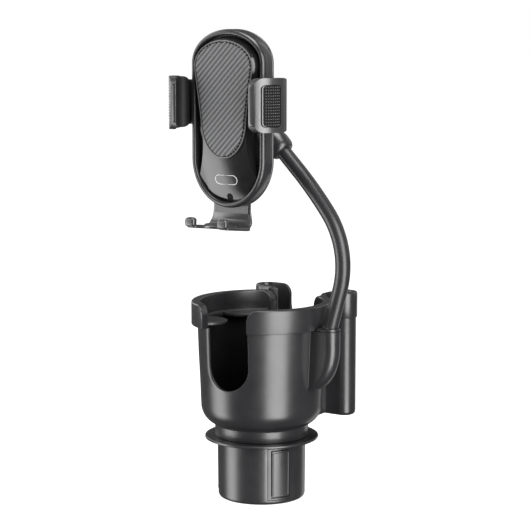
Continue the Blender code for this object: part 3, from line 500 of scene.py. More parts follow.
def tab_faces():
    """Rubber faces of the tabs, each with a raised border line."""
    gap = 0.55
    for name, azimuth in TAB_AZIMUTHS.items():
        node = f"tab_pad_{name}"
        half = asin((7.55 - gap) / BARREL_R[0])
        low, high = box_mm(node)
        low.z += gap
        high.z -= gap
        rows = []
        heights = [low.z, low.z + 0.5, low.z + 1.1, low.z + 1.3]
        heights += spread(low.z + 1.6, high.z - 1.6, 10) + [high.z - 1.3, high.z - 1.1, high.z - 0.5, high.z]
        stops = [-1.0, -0.93, -0.86, -0.83, -0.8] + spread(-0.7, 0.7, 8) + [0.8, 0.83, 0.86, 0.93, 1.0]
        for z in heights:
            row = []
            for stop in stops:
                edge = min(z - low.z, high.z - z, (1 - abs(stop)) * 7.55)
                rise = 0.12 if 0.3 < edge < 1.2 else 0.0
                radius = barrel_radius(z) + 0.22 + rise
                row.append(drum_point(stop * half, radius, z))
            rows.append(row)
        face = spun(outward(sheet(rows)), azimuth)
        soften(thicken(face, 1.3), 0.3, 2, 60)
        done(face, f"tab_face_{name}", f"tab_{name}", "satin_black", node)


# ---------------------------------------------------------------- cup

cup_low, cup_high = box_mm("cup_shell")
BAND_R = cup_high.x
BAND_TOP = cup_high.z
BAND_LOW = 131.2
BAND_IN_R = 45.7
CUP_WALL = 2.2
NECK_R = 35.0
SLOT_HALF = 17.8
SLOT_LOW = 86.8
REAR_SLOT_LOW = 118.0
BAND_SLOT_HALF = 19.5
BAND_CORNER = 8.0
CUP_COLUMNS = 56


def cup_profile():
    """Outside of the cup below its band, from the neck up, as (radius, height)."""
    foot = arc((30.4, 71.0), (15.0, 15.8), -70, 0, 12)
    lower = [(NECK_R, cup_low_lip), (NECK_R, foot[0][1] - 1.2), (NECK_R + 0.1, foot[0][1] - 0.3)]
    return lower + foot


cup_low_lip = FLANGE_TOP + 0.4


def cup_radius(z):
    return float(np.interp(z, (71.0, 90.0, 110.0, BAND_LOW), (45.4, 46.1, 47.1, 47.8)))


def slot_half_width(z, bottom):
    middle = bottom + SLOT_HALF
    if z >= middle:
        return SLOT_HALF
    if z <= bottom:
        return 0.0
    return sqrt(max(0.0, SLOT_HALF**2 - (middle - z) ** 2))


def shade_painted_inside(obj):
    """Paints shade: gives a matt black to the faces that look at the cup's axis, for the shade inside the cup."""
    obj.data.materials.append(LOOK["deep_black"])
    for face in obj.data.polygons:
        if face.normal.x * face.center.x + face.normal.y * face.center.y < 0:
            face.material_index = 1


def cup_wall():
    """Wall with a U-shaped handle slot at the front and a shallow one at the back."""
    rows = [(r, z, 0.0, 0.0) for r, z in cup_profile()]
    heights = spread(73, SLOT_LOW, 4)
    heights += [SLOT_LOW + SLOT_HALF * (1 - cos(pi / 2 * i / 14)) for i in range(1, 15)]
    heights += spread(heights[-1], REAR_SLOT_LOW, 4)[1:]
    heights += [REAR_SLOT_LOW + SLOT_HALF * (1 - cos(pi / 2 * i / 10)) for i in range(1, 8)]
    heights.append(BAND_LOW + 0.4)
    heights = sorted(heights)
    for z in heights:
        if z > BAND_LOW + 0.5:
            continue
        r = cup_radius(z)
        rows.append((r, z, asin(slot_half_width(z, SLOT_LOW) / r), asin(slot_half_width(z, REAR_SLOT_LOW) / r)))
    halves = []
    for side in (1, -1):
        grid = []
        for r, z, front, rear in rows:
            grid.append([drum_point(side * a, r, z) for a in spread(front, pi - rear, CUP_COLUMNS)])
        halves.append(sheet(grid))
    wall = outward(weld(merged(halves)))
    thicken(wall, CUP_WALL)
    soften(wall, 0.35, 2, 50)
    done(wall, "cup_wall", "cup", "satin_black", "cup_shell", crease=50)
    # painted shade: the wall's inner faces are darker than the same plastic outside
    shade_painted_inside(wall)


def cup_floor():
    low, high = 57.4, 60.0
    bowl = arc((30.0, 73.5), (12.6, 13.5), -88, -20, 10)
    profile = [(0, low), (33, low), (38.5, 60.3), (42.5, 66.5), (43.3, 69.0)] + bowl[::-1] + [(0, high)]
    done(turned(profile, 96), "cup_floor", "cup", "satin_black")
    spindle = turned([(0, 14.0), (8.2, 14.0), (8.5, 14.3), (8.5, low + 0.2), (0, low + 0.2)], 40)
    done(spindle, "cup_spindle", "cup", "satin_black")


def cup_band(side):
    """One half of the thick rim, with big round corners where the slots cut its top edge."""
    columns = eased(0, 1, 72)
    rings = []
    for t in columns:
        ring = []
        edge = asin(BAND_SLOT_HALF / BAND_R)
        run = (pi - 2 * edge) * BAND_R
        distance = min(t, 1 - t) * run
        drop = 0.0
        if distance < BAND_CORNER:
            drop = BAND_CORNER - sqrt(BAND_CORNER**2 - (BAND_CORNER - distance) ** 2)
        top = BAND_TOP - drop
        section = [(BAND_R - 0.5, BAND_LOW), (BAND_R - 0.12, BAND_LOW + 0.15), (BAND_R, BAND_LOW + 0.55)]
        section += [(BAND_R, (BAND_LOW + top) / 2)]
        section += arc((BAND_R - 1.3, top - 1.3), (1.3, 1.3), 0, 90, 5)
        section += arc((BAND_IN_R + 1.0, top - 1.0), (1.0, 1.0), 90, 180, 5)
        section += [(BAND_IN_R, (BAND_LOW + top) / 2), (BAND_IN_R, BAND_LOW - 0.2), (47.2, BAND_LOW - 0.2)]
        section += [(47.6, BAND_LOW)]
        for r, z in section:
            start = asin(BAND_SLOT_HALF / r)
            ring.append(drum_point(side * (start + (pi - 2 * start) * t), r, z))
        rings.append(ring)
    name = "right" if side > 0 else "left"
    band = loft(rings)
    soften(band, 0.5, 3, 55)
    done(band, f"cup_band_{name}", "cup", "satin_black")


def cup_liner():
    """Moulded line of the soft band that the fins grow from."""
    low, high = box_mm("fin_ring_right")
    for side, name in ((1, "right"), (-1, "left")):
        rings = []
        for a in spread(radians(28), radians(152), 60):
            ring = []
            for r, z in ((45.65, low.z), (44.9, low.z + 0.3), (44.5, low.z + 1), (44.5, high.z - 1), (44.9, high.z - 0.3), (45.65, high.z)):
                ring.append(drum_point(side * a, r, z))
            rings.append(ring)
        done(loft(rings), f"fin_band_{name}", "cup", "soft_black", f"fin_ring_{name}")


def fin_flap(number):
    """Soft flap: a half ellipse with a rounded rim that bends out of its band."""
    hinge = pivot(f"fin_{number}_fold")
    azimuth = degrees(atan2(hinge.x, -hinge.y))
    reach = hinge.to_2d().length
    root = 44.7
    rows = []
    for along in [-1.0, -0.5] + [sin(pi / 2 * i / 14) for i in range(15)]:
        if along < 0:
            y = reach + (root - reach) * -along
            half = min(15.3, sqrt(root**2 - y**2) if y < root else 15.3) if False else 15.3 * (1 - 0.25 * -along)
        else:
            y = reach - 15.0 * along
            half = 15.3 * sqrt(max(0.0004, 1 - along**2))
        rows.append([(half * u, -y, hinge.z + 0.9 - 0.5 * u * u * max(along, 0) ** 2) for u in eased(-1, 1, 16)])
    flap = sheet(rows)
    if flap.data.polygons[0].normal.z < 0:
        flap.data.flip_normals()
    thicken(flap, 1.7)
    soften(flap, 0.4, 2, 50)
    spun(flap, azimuth)
    done(flap, f"fin_flap_{number}", None, "fin_grey", f"fin_{number}")
    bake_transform(flap)


# painted highlight: a lighter, glossier copy of satin black for the lit edges of the socket
LOOK["edge_painted_highlight"] = moulded("edge_painted_highlight", (0.03, 0.03, 0.031), 0.30, 3000, 0.003, specular=0.8)
# painted highlight: light grey for the lit edge round the pad
LOOK["bead_painted_highlight"] = moulded("bead_painted_highlight", (0.075, 0.075, 0.076), 0.34, 3000, 0.003)
LOOK["cushion_black"] = moulded("cushion_black", (0.007, 0.007, 0.007), 0.55, 5000, 0.008, specular=0.25)
# painted highlight: the grip's studs are lighter than the same rubber round them, for the glints on their domes
LOOK["stud_painted_highlight"] = moulded("stud_painted_highlight", (0.055, 0.055, 0.056), 0.35, 3000, 0.004)
LOOK["fin_grey"] = moulded("fin_grey", (0.022, 0.022, 0.023), 0.42, 5000, 0.008)


# ---------------------------------------------------------------- pocket

pocket_low, pocket_high = box_mm("pocket_shell")
POCKET_HALF = pocket_high.x - 0.9
POCKET_BACK = pocket_high.y - 0.9
POCKET_FRONT = 52.2
POCKET_ROOT_FRONT = 42.0
POCKET_ROOT_HALF = 24.0
POCKET_BAND_LOW = 130.5
POCKET_CORNER = 8.9
POCKET_WALL = 2.4


def pocket_outline(inset):
    """Round-ended pocket in plan, with a narrower root that reaches forward to the cup."""
    radius = POCKET_CORNER - inset
    end = POCKET_HALF - POCKET_CORNER
    root = POCKET_ROOT_HALF - inset
    right = [(root, POCKET_ROOT_FRONT + inset), (root, POCKET_FRONT + inset)]
    right += arc((end, POCKET_FRONT + POCKET_CORNER), (radius, radius), -90, 0, 14)
    right += arc((end, POCKET_BACK - POCKET_CORNER), (radius, radius), 0, 90, 14)[1:]
    return right + [(-x, y) for x, y in reversed(right)]


def cup_outside(offset):
    profile = [(0, 30), (NECK_R + offset, 30), (NECK_R + offset, 55)]
    profile += [(r + offset, z) for r, z in arc((30.4, 71.0), (15.0, 15.8), -66, 0, 8)]
    profile += [(cup_radius(z) + offset, z) for z in (90, 110)]
    profile += [(47.8 + offset, BAND_LOW - offset), (BAND_R + offset, BAND_LOW - offset)]
    return profile + [(BAND_R + offset, 190), (0, 190)]


def slot_outline(half, bottom, top):
    bow = arc((0, bottom + half), (half, half), 180, 360, 24)
    return [(-half, top)] + bow + [(half, top)]


def flared_outline(half, low, top):
    r = BAND_CORNER
    right = arc((half + r, top - r), (r, r), 180, 90, 8)
    left = [(-x, z) for x, z in right[::-1]]
    return [(-half, low), (half, low)] + right + [(half + r, top + 8), (-half - r, top + 8)] + left


def pocket():
    low, top = pocket_low.z, pocket_high.z
    stack = [(4.2, low), (2.2, low + 0.25), (0.9, low + 0.9), (0.25, low + 1.9), (0, low + 3.2)]
    stack += [(0, POCKET_BAND_LOW), (-0.55, POCKET_BAND_LOW + 0.05), (-0.9, POCKET_BAND_LOW + 0.5)]
    stack += [(-0.9, top - 1.3), (-0.6, top - 0.45), (0.1, top)]
    body = loft([[(x, y, z) for x, y in pocket_outline(inset)] for inset, z in stack])
    boolean(body, turned(cup_outside(0.25), 128))
    room = slab(pocket_outline(POCKET_WALL), along_z, low + POCKET_WALL, top + 10)
    boolean(room, turned(cup_outside(0.25 + CUP_WALL), 128))
    boolean(body, room)
    boolean(body, slab(slot_outline(BAND_SLOT_HALF, REAR_SLOT_LOW - 1.5, top - 2), along_y, 40, 80))
    boolean(body, slab(flared_outline(BAND_SLOT_HALF, 140, top), along_y, 40, 80))
    weld(body, 0.01)
    soften(body, 0.35, 2, 50)
    done(body, "pocket_body", "cup", "satin_black", "pocket_shell")


# ---------------------------------------------------------------- socket and gooseneck

socket_low, socket_high = box_mm("arm_socket")
NECK_START = (60.3, 132.7)
NECK_LEAN = 15.5
NECK_RUNS = ((30.0, 0.0), (58.6, -52.5), (40.0, -8.0), (44.6, 0.0))
NECK_R = 35.0
TUBE_R = 5.6
NECK_JOINTS = ("neck_bend", "neck_side", "neck_bend_upper", "neck_side_upper")
NECK_STOPS = (-2.5, 28.0, 60.0, 92.0, 122.0, 152.4)


def neck_frame(distance):
    """Point and heading on the gooseneck's centre line, as in the frame."""
    x, z = NECK_START
    heading = NECK_LEAN
    left = distance
    for length, turn in NECK_RUNS:
        run = min(left, length) if left > 0 else left
        if turn and run > 0:
            radius = length / radians(-turn)
            new = heading + turn * run / length
            x += radius * (cos(radians(new)) - cos(radians(heading)))
            z += radius * (sin(radians(heading)) - sin(radians(new)))
            heading = new
        else:
            x += run * sin(radians(heading))
            z += run * cos(radians(heading))
        left -= run
        if left <= 0:
            break
    return Vector((x, 0, z)), radians(heading)


def neck_ring(distance, radius, sides=40):
    centre, heading = neck_frame(distance)
    side = Vector((cos(heading), 0, -sin(heading)))
    return [
        centre + radius * (cos(2 * pi * i / sides) * side + sin(2 * pi * i / sides) * Vector((0, 1, 0)))
        for i in range(sides)
    ]


def neck_skins():
    """One smooth sleeve in four pieces that meet halfway between joints."""
    cuts = [NECK_STOPS[0]] + [(a + b) / 2 for a, b in zip(NECK_STOPS[1:-2], NECK_STOPS[2:-1])] + [NECK_STOPS[-1]]
    for number in range(4):
        start, end = cuts[number], cuts[number + 1]
        steps = round((end - start) / 1.4)
        skin = loft([neck_ring(s, TUBE_R) for s in spread(start, end, steps)])
        gone = [f"neck_sleeve_{number + 1}", f"neck_core_{number + 1}"]
        if number == 3:
            gone += ["neck_sleeve_5", "neck_core_5"]
        done(skin, f"neck_skin_{number + 1}", None, "neck_black", *gone)
        joint = NECK_STOPS[number + 1]
        before, _ = neck_frame(joint - 9)
        after, _ = neck_frame(joint + 9)
        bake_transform(skin)


def socket_ring(height, reach, grow=0.0):
    root = 44.5
    half = (socket_high.y - socket_low.y) / 2 + grow
    reach = reach + grow
    nose = min(half, max(0.3, reach - root))
    bow = arc((reach - nose, 0), (nose, half), -90, 90, 24)
    return [(x, y, height) for x, y in bow] + [(root, half, height), (root, -half, height)]


def socket_body():
    reach, top = socket_high.x, socket_high.z
    shoulder, drop, centre = 118.0, 33.0, 44.0
    rings = []
    for i in range(25):
        angle = radians(-88 + 88 * i / 24)
        rings.append(socket_ring(shoulder + drop * sin(angle), centre + (reach - centre) * cos(angle)))
    rings += [socket_ring(top - 3, reach), socket_ring(top - 0.1, reach), socket_ring(top, reach - 0.15)]
    body = loft(rings)
    boolean(body, turned([(0, 60), (43.6, 60), (46.2, 131), (46.2, 150), (0, 150)], 96))
    done(body, "socket_body", "cup", "satin_black", "arm_socket", crease=45)
    half = (socket_high.y - socket_low.y) / 2
    # painted highlight: thin lighter lines along both flat sides of the socket, for their lit edges
    edges = []
    for y in (-half - 0.05, half + 0.05):
        line = [(sqrt(cup_radius(z) ** 2 - half**2) + 0.2, z) for z in spread(88.5, 130.6, 24)]
        edges.append(outline_tube(line, y, 0.34, closed=False))
    done(merged(edges), "socket_edge_highlights", "cup", "edge_painted_highlight")


def socket_collar():
    low, high = box_mm("socket_cap")
    half = high.y
    stack = ((0.5, low.z), (0.08, low.z + 0.12), (0, low.z + 0.5), (0, high.z - 0.6), (0.18, high.z - 0.15), (0.7, high.z))
    rings = []
    for inset, z in stack:
        bow = arc((high.x - half, 0), (half - inset, half - inset), -90, 90, 24)
        x = low.x + inset
        rings.append([(px, py, z) for px, py in bow] + [(x, half - inset, z), (x, inset - half, z)])
    done(loft(rings), "socket_collar", "cup", "satin_black", "socket_cap")
    seal = [neck_ring(s, r) for s, r in ((-2.4, 6.4), (0.55, 6.4), (1.0, 6.25), (1.2, 5.9), (1.25, 5.5))]
    done(loft(seal), "socket_seal", "cup", "soft_black")


# ---------------------------------------------------------------- head joint

BALL = pivot("cradle_yaw")
ELBOW = Vector((0, 0, BALL.z))


def neck_back():
    _, heading = neck_frame(NECK_STOPS[-1])
    return Vector((-sin(heading), 0, -cos(heading)))


def ferrule():
    back = neck_back()
    r = 8.0
    profile = [(5.2, 0.2), (r - 1.5, 0.2), (r - 0.6, 0.9), (r + 0.1, 2.4)]
    profile += [(r + 1.1, 5.4), (r + 1.5, 8.2), (r + 1.5, 10.6)]
    profile += arc((r - 1.0, 12.2), (2.45, 5.2), 0, 80, 8) + [(5.7, 17.5), (5.6, 9), (5.2, 9)]
    made = turned(profile, 64, facing(ELBOW + back * 10.5, back))
    done(made, "neck_ferrule", "neck_5", "satin_black", "arm_ferrule")


def elbow_stud():
    """Elbow rod, stud and ball as one turned and bent bar."""
    back = neck_back()
    rod = []
    bend = 6.0
    for s in spread(16.5, bend, 8):
        rod.append((ELBOW + back * s, -back, 5.0))
    forward = Vector((0, -1, 0))
    for t in spread(0, 1, 10)[1:]:
        a = ELBOW + back * bend * (1 - t) ** 2 + forward * bend * t * t
        tangent = (-back * (1 - t) + forward * t).normalized()
        rod.append((a, tangent, 5.0 - 1.8 * t))
    ball_r = 8.5
    start = (BALL - ELBOW).length - ball_r
    rod.append((ELBOW + forward * (start + 0.6), forward, 3.2))
    for angle in spread(24, 172, 16):
        a = radians(angle)
        rod.append((BALL - forward * ball_r * cos(a), forward, max(0.3, ball_r * sin(a))))
    rings = []
    side = Vector((0, -1, 0)).cross(-back).normalized()
    for centre, direction, radius in rod:
        across = (side - direction * side.dot(direction)).normalized()
        up = direction.cross(across)
        rings.append([centre + radius * (cos(2 * pi * i / 32) * across + sin(2 * pi * i / 32) * up) for i in range(32)])
    done(loft(rings), "elbow_stud", "neck_5", "chrome_ball", "ball_stud")


def grip_nut():
    """Clamp nut with moulded finger ribs."""

    def ribbed(r, height, angle):
        on_band = -6.2 < height < 4.6
        return r + (0.42 * abs(cos(angle * 12)) - 0.35 if on_band and r > 12.4 else 0)

    profile = [(11.6, -8.2), (12.6, -8.2), (13.0, -7.6), (13.0, -6.6), (12.7, -6.2), (12.9, -5.8)]
    profile += spread_profile(12.9, -5.8, 4.2, 8) + [(12.7, 4.6), (13.0, 5.0), (12.9, 5.8), (11.6, 8.0), (11.0, 8.4)]
    profile += [(9.3, 8.4), (8.8, 7.9), (8.8, 7.1), (11.0, 6.1), (11.6, 5.0)]
    made = turned(profile, 192, facing(BALL, (0, 1, 0)), ribbed)
    done(made, "grip_nut", "nut", "satin_black", "swivel_nut", crease=50)


def spread_profile(radius, low, high, count):
    return [(radius, z) for z in spread(low, high, count)[1:]]


# ---------------------------------------------------------------- cradle

frame_low, frame_high = box_mm("front_frame")
cover_low, cover_high = box_mm("rear_cover")
pad_low, pad_high = box_mm("face_pad")
FACE_Y = frame_low.y
HALF = frame_high.x + 0.6
RIM_FORWARD = 2.0
LOW_Z, HIGH_Z = frame_low.z, frame_high.z
TOP_ARC = 24.0
BOTTOM_ARC = 35.0
FRAME_WALL = 4.0
FRAME_BACK = frame_high.y - FACE_Y
RISE = 5.5


def depth(distance):
    return FACE_Y + distance


def outline_frames(count_arc=44, count_side=14):
    """Points of the cradle's outline as (x, z), with outward normals, all the way round."""
    top = HIGH_Z - TOP_ARC
    bottom = LOW_Z + BOTTOM_ARC
    points = arc((0, top), (HALF, TOP_ARC), 0, 180, count_arc)
    points += [(-HALF, z) for z in spread(top, bottom, count_side)[1:-1]]
    points += arc((0, bottom), (HALF, BOTTOM_ARC), 180, 360, count_arc)
    points += [(HALF, z) for z in spread(bottom, top, count_side)[1:-1]]
    frames = []
    for i, (x, z) in enumerate(points):
        ahead = points[(i + 1) % len(points)]
        behind = points[i - 1]
        run = Vector((ahead[0] - behind[0], ahead[1] - behind[1])).normalized()
        frames.append((Vector((x, z)), Vector((run.y, -run.x))))
    return frames


def ring_sweep(section):
    """A section of (inset, depth) carried round the cradle's outline."""
    rings = []
    for point, normal in outline_frames():
        ring = []
        for inset, d in section:
            p = point - normal * inset
            ring.append((p.x, depth(d), p.y))
        rings.append(ring)
    return loft(rings, closed_path=True)


def rim():
    """Rounded rim of the cradle with slots for the clamps' plates and for the foot."""
    back = FRAME_BACK
    front = -RIM_FORWARD
    section = [(0.3, back), (0.05, back - 0.4), (0, front + 4.4)]
    section += arc((2.5, front + 3.2), (2.5, 3.2), 182, 270, 12)
    section += [(3.1, front + 0.05), (3.6, front + 0.3), (FRAME_WALL, front + 0.9)]
    section += [(FRAME_WALL, back - 0.3), (FRAME_WALL - 0.3, back)]
    ring = ring_sweep(section)
    boolean(ring, box((-40, depth(3.5), 277.2), (40, depth(7.3), 314.8)))
    boolean(ring, box((-16.5, depth(RISER_DEPTH - 0.5), 200), (16.5, depth(back + 2), 240)))
    done(ring, "cradle_rim", "cradle", "satin_black", "front_frame", crease=40)


def half_at(z, low, high, half, top_arc, bottom_arc):
    """Half width of a rounded upright shape at a height."""
    if z > high - top_arc:
        return half * sqrt(max(0.0, 1 - ((z - (high - top_arc)) / top_arc) ** 2))
    if z < low + bottom_arc:
        return half * sqrt(max(0.0, 1 - ((low + bottom_arc - z) / bottom_arc) ** 2))
    return half


def recess_half(z):
    inset = FRAME_WALL - 0.1
    return half_at(z, LOW_Z + inset, HIGH_Z - inset, HALF - inset, TOP_ARC - inset, BOTTOM_ARC - inset)


ISLAND_TOP = 322.0
ISLAND_NECK = 284.0
PAD_BOTTOM = pad_low.z


def pad_half(z, inset=0.0):
    """Half width of the pad: widest near the top, tapering down to a round end."""
    if z > ISLAND_TOP:
        return (25.0 - inset) * sqrt(max(0.0, 1 - ((z - ISLAND_TOP) / (18.6 - inset)) ** 2))
    if z > ISLAND_NECK:
        return 19.3 - inset + (z - ISLAND_NECK) * 5.7 / (ISLAND_TOP - ISLAND_NECK)
    return (19.3 - inset) * sqrt(max(0.0, 1 - ((ISLAND_NECK - z) / (26.7 - inset)) ** 2))


FACE_FOOT = 225.4
SLOPE_TOP = 257.0


ROOF = 0.908


def face_half(z):
    """Half width of the island's front face, which flares out to the rim at its bottom."""
    if z > ISLAND_TOP:
        return 26.9 * sqrt(max(0.0, ROOF**2 - ((z - ISLAND_TOP) / 21.6) ** 2))
    if z > ISLAND_NECK:
        return 20.0 + (z - ISLAND_NECK) * 4.42 / (ISLAND_TOP - ISLAND_NECK)
    away = z - CREASE_NECK
    wide = 18.8 + (0.0061 if away > 0 else 0.0085) * away * away
    return min(wide, recess_half(z) - 0.6)


def foot_half(z):
    """Half width of the island where it meets the recess."""
    if z > ISLAND_TOP:
        wide = 26.9 * sqrt(max(0.0, 1 - ((z - ISLAND_TOP) / 21.6) ** 2))
    elif z > ISLAND_NECK:
        wide = 21.8 + (z - ISLAND_NECK) * 5.1 / (ISLAND_TOP - ISLAND_NECK)
    else:
        wide = face_half(z) + 1.8
    return min(wide, max(recess_half(z) - 0.05, 0.02))


CREASE_NECK = 270.0
RECESS = 1.6


def face_depth(x, z):
    """Depth of the glossy face behind the rim's front."""
    return RECESS - island_height(x, z) * (RISE + RECESS) / RISE


def flank(share, z):
    """Rise along the island's flank from its foot (0) to its edge (1), chamfered near the top."""
    share = max(0.0, min(1.0, share))
    fade = max(0.0, min(1.0, (z - 311) / 3, (333 - z) / 3))
    chamfered = share * 2.8 if share < 0.25 else 0.7 + (share - 0.25) * 0.4
    return share + fade * (chamfered - share)


def island_height(x, z):
    """Height of the island over the recess: flat, with steep flanks and a slope to the rim's bottom."""
    if z > ISLAND_TOP:
        around = sqrt((x / 26.9) ** 2 + ((z - ISLAND_TOP) / 21.6) ** 2)
        return RISE * flank((1 - around) / (1 - ROOF), z)
    wide, narrow = foot_half(z), min(face_half(z), foot_half(z) - 0.01)
    up = max(0.0, min(1.0, (z - FACE_FOOT) / (SLOPE_TOP - FACE_FOOT)))
    crown = 0.0038 * x * x * max(0.0, min(1.0, (276 - z) / 22)) * min(1.0, up * 3)
    return RISE * flank((wide - abs(x)) / (wide - narrow), z) * (1 - (1 - up) ** 1.6) - crown


def face_shell():
    """Glossy face: a dark recess round an island that slopes down to the bottom of the rim."""
    low, high = LOW_Z + FRAME_WALL - 0.1, HIGH_Z - FRAME_WALL + 0.1
    heights = eased(low + 0.02, 262, 30) + spread(262, 318, 20)[1:] + eased(318, high - 0.02, 34)[1:]
    rows = []
    for z in heights:
        edge = max(recess_half(z), 0.05)
        foot_x = min(foot_half(z), edge * 0.995)
        face_x = min(face_half(z), foot_x * 0.995)
        if z > ISLAND_TOP + 20.0:
            face_x = foot_x * 0.6
        stops = spread(0, face_x, 9) + spread(face_x, foot_x, 5)[1:] + spread(foot_x, edge, 4)[1:]
        xs = [-x for x in stops[:0:-1]] + stops
        row = []
        for x in xs:
            rise = island_height(x, z)
            row.append((x, depth(RECESS - rise * (RISE + RECESS) / RISE), z))
        rows.append(row)
    face = sheet(rows)
    if sum(f.normal.y for f in face.data.polygons) > 0:
        face.data.flip_normals()
    thicken(face, 1.2)
    done(face, "face_shell", "cradle", "gloss_black", "face_plate", crease=24)


def release_notch_painted_shade():
    """Painted shade: a small dark keyhole-shaped sheet at the bottom of the face, for the shade in the notch."""
    low, half, top = 225.6, 2.5, 231.6
    shape = [(-half, low), (half, low), (half * 0.8, low + 1.4)]
    shape += arc((0, top - half), (half, half), -20, 200, 12) + [(-half * 0.8, low + 1.4)]
    rings = []
    for rise, shrink in ((-0.6, 1.0), (0.16, 1.0), (0.2, 0.9)):
        ring = []
        for x, z in shape:
            z = low + (z - low) * shrink
            ring.append((x * shrink + 1.2, depth(face_depth(x, z) - rise), z))
        rings.append(ring)
    done(loft(rings), "release_notch_painted_shade", "cradle", "deep_black")


def pad_outline(inset, rows=60):
    low, high = pad_low.z + inset, pad_high.z - inset
    right = [(pad_half(z, inset), z) for z in eased(low, high, rows)]
    right[0] = (0.0, low)
    right[-1] = (0.0, high)
    return right + [(-x, z) for x, z in right[-2:0:-1]]


def outline_tube(outline, y, radius, sides=8, closed=True):
    """A thin round bead that follows an outline of (x, z)."""
    rings = []
    count = len(outline)
    for i, (x, z) in enumerate(outline):
        ahead = outline[(i + 1) % count if closed else min(i + 1, count - 1)]
        behind = outline[i - 1 if closed else max(i - 1, 0)]
        run = Vector((ahead[0] - behind[0], 0, ahead[1] - behind[1])).normalized()
        side = Vector((-run.z, 0, run.x))
        rings.append(
            [
                Vector((x, y, z)) + radius * (cos(2 * pi * k / sides) * side + sin(2 * pi * k / sides) * Vector((0, 1, 0)))
                for k in range(sides)
            ]
        )
    return loft(rings, closed_path=closed)


def twill_height(x, z):
    """Height of the embossed weave: rounded diagonal ribs."""
    phase = (x * TWILL_ACROSS - z * TWILL_UP) / TWILL_PITCH
    rib = 0.5 + 0.5 * sin(2 * pi * phase)
    thread = 0.5 + 0.5 * sin(2 * pi * x / 0.62 + pi * int(phase))
    return 0.26 * rib ** 0.7 + 0.03 * thread


def weave_pad():
    """Rubber pad with real twill ribs, set in a fine bead."""
    front = pad_low.y
    rows = []
    for z in eased(pad_low.z + 0.9, pad_high.z - 0.9, 60) if False else spread(pad_low.z + 0.9, pad_high.z - 0.9, 170):
        half = pad_half(z, 0.8)
        row = []
        for u in spread(-1, 1, 96):
            x = half * u
            edge = min((1 - abs(u)) * half, (pad_high.z - 0.8 - z) * 2, (z - pad_low.z - 0.8) * 2)
            fade = max(0.0, min(1.0, edge / 0.9))
            row.append((x, front + 0.5 - (0.25 + twill_height(x, z)) * fade, z))
        rows.append(row)
    pad = sheet(rows)
    if sum(f.normal.y for f in pad.data.polygons) > 0:
        pad.data.flip_normals()
    thicken(pad, 0.9)
    done(pad, "weave_pad", "cradle", "weave_grey", "face_pad", crease=60)
    # painted highlight: the light grey bead stands in for the lit chamfer round the pad
    bead = outline_tube(pad_outline(0.15), front + 0.62, 0.5)
    done(bead, "pad_bead", "cradle", "bead_painted_highlight")
    outline = pad_outline(1.25, 220)
    dashes = []
    travelled = 0.0
    last = Vector(outline[-1])
    for i, point in enumerate(outline):
        here = Vector(point)
        travelled += (here - last).length
        last = here
        if travelled < 2.5 or (here.x < 0 and here.y < 330):
            continue
        travelled = 0.0
        run = (Vector(outline[(i + 2) % len(outline)]) - Vector(outline[i - 2])).normalized()
        where = Matrix.Translation((here.x, front + 0.22, here.y)) @ Matrix.Rotation(-atan2(run.y, run.x), 4, "Y")
        dash = turned([(0.02, -0.34), (0.86, -0.3), (0.98, 0.0), (0.86, 0.22), (0.02, 0.26)], 12)
        dash.data.transform(Matrix.Diagonal((1.0, 0.72, 1, 1)))
        dash.data.transform(Matrix.Rotation(radians(90), 4, "X"))
        place = where.copy()
        place.translation = place.translation * MM
        dash.data.transform(place)
        dashes.append(dash)
    done(merged(dashes), "pad_notches", "cradle", "deep_black")
    # painted shade: a dark line along the pad's lower left edge only, for the shaded gap beside the pad
    left = [(x, z) for x, z in pad_outline(1.0, 120) if x < 0 and z < 334]
    groove = outline_tube(left, front + 0.42, 0.3, closed=False)
    done(groove, "pad_edge_painted_shade", "cradle", "deep_black")


def badge():
    """Plain pill-shaped outline on the lower face."""
    z0 = 241.5
    half, tall = 9.4, 3.3
    outline = []
    for cx, start in ((half - tall, -90), (tall - half, 90)):
        outline += arc((cx, z0), (tall, tall), start, start + 180, 14)
    rings = []
    count = len(outline)
    for i, (x, z) in enumerate(outline):
        ahead, behind = outline[(i + 1) % count], outline[i - 1]
        run = Vector((ahead[0] - behind[0], 0, ahead[1] - behind[1])).normalized()
        side = Vector((-run.z, 0, run.x))
        y = depth(face_depth(x, z)) - 0.02
        rings.append([Vector((x, y, z)) + 0.28 * (cos(2 * pi * k / 6) * side + 0.6 * sin(2 * pi * k / 6) * Vector((0, 1, 0))) for k in range(6)])
    done(loft(rings, closed_path=True), "badge_outline", "cradle", "badge_grey")


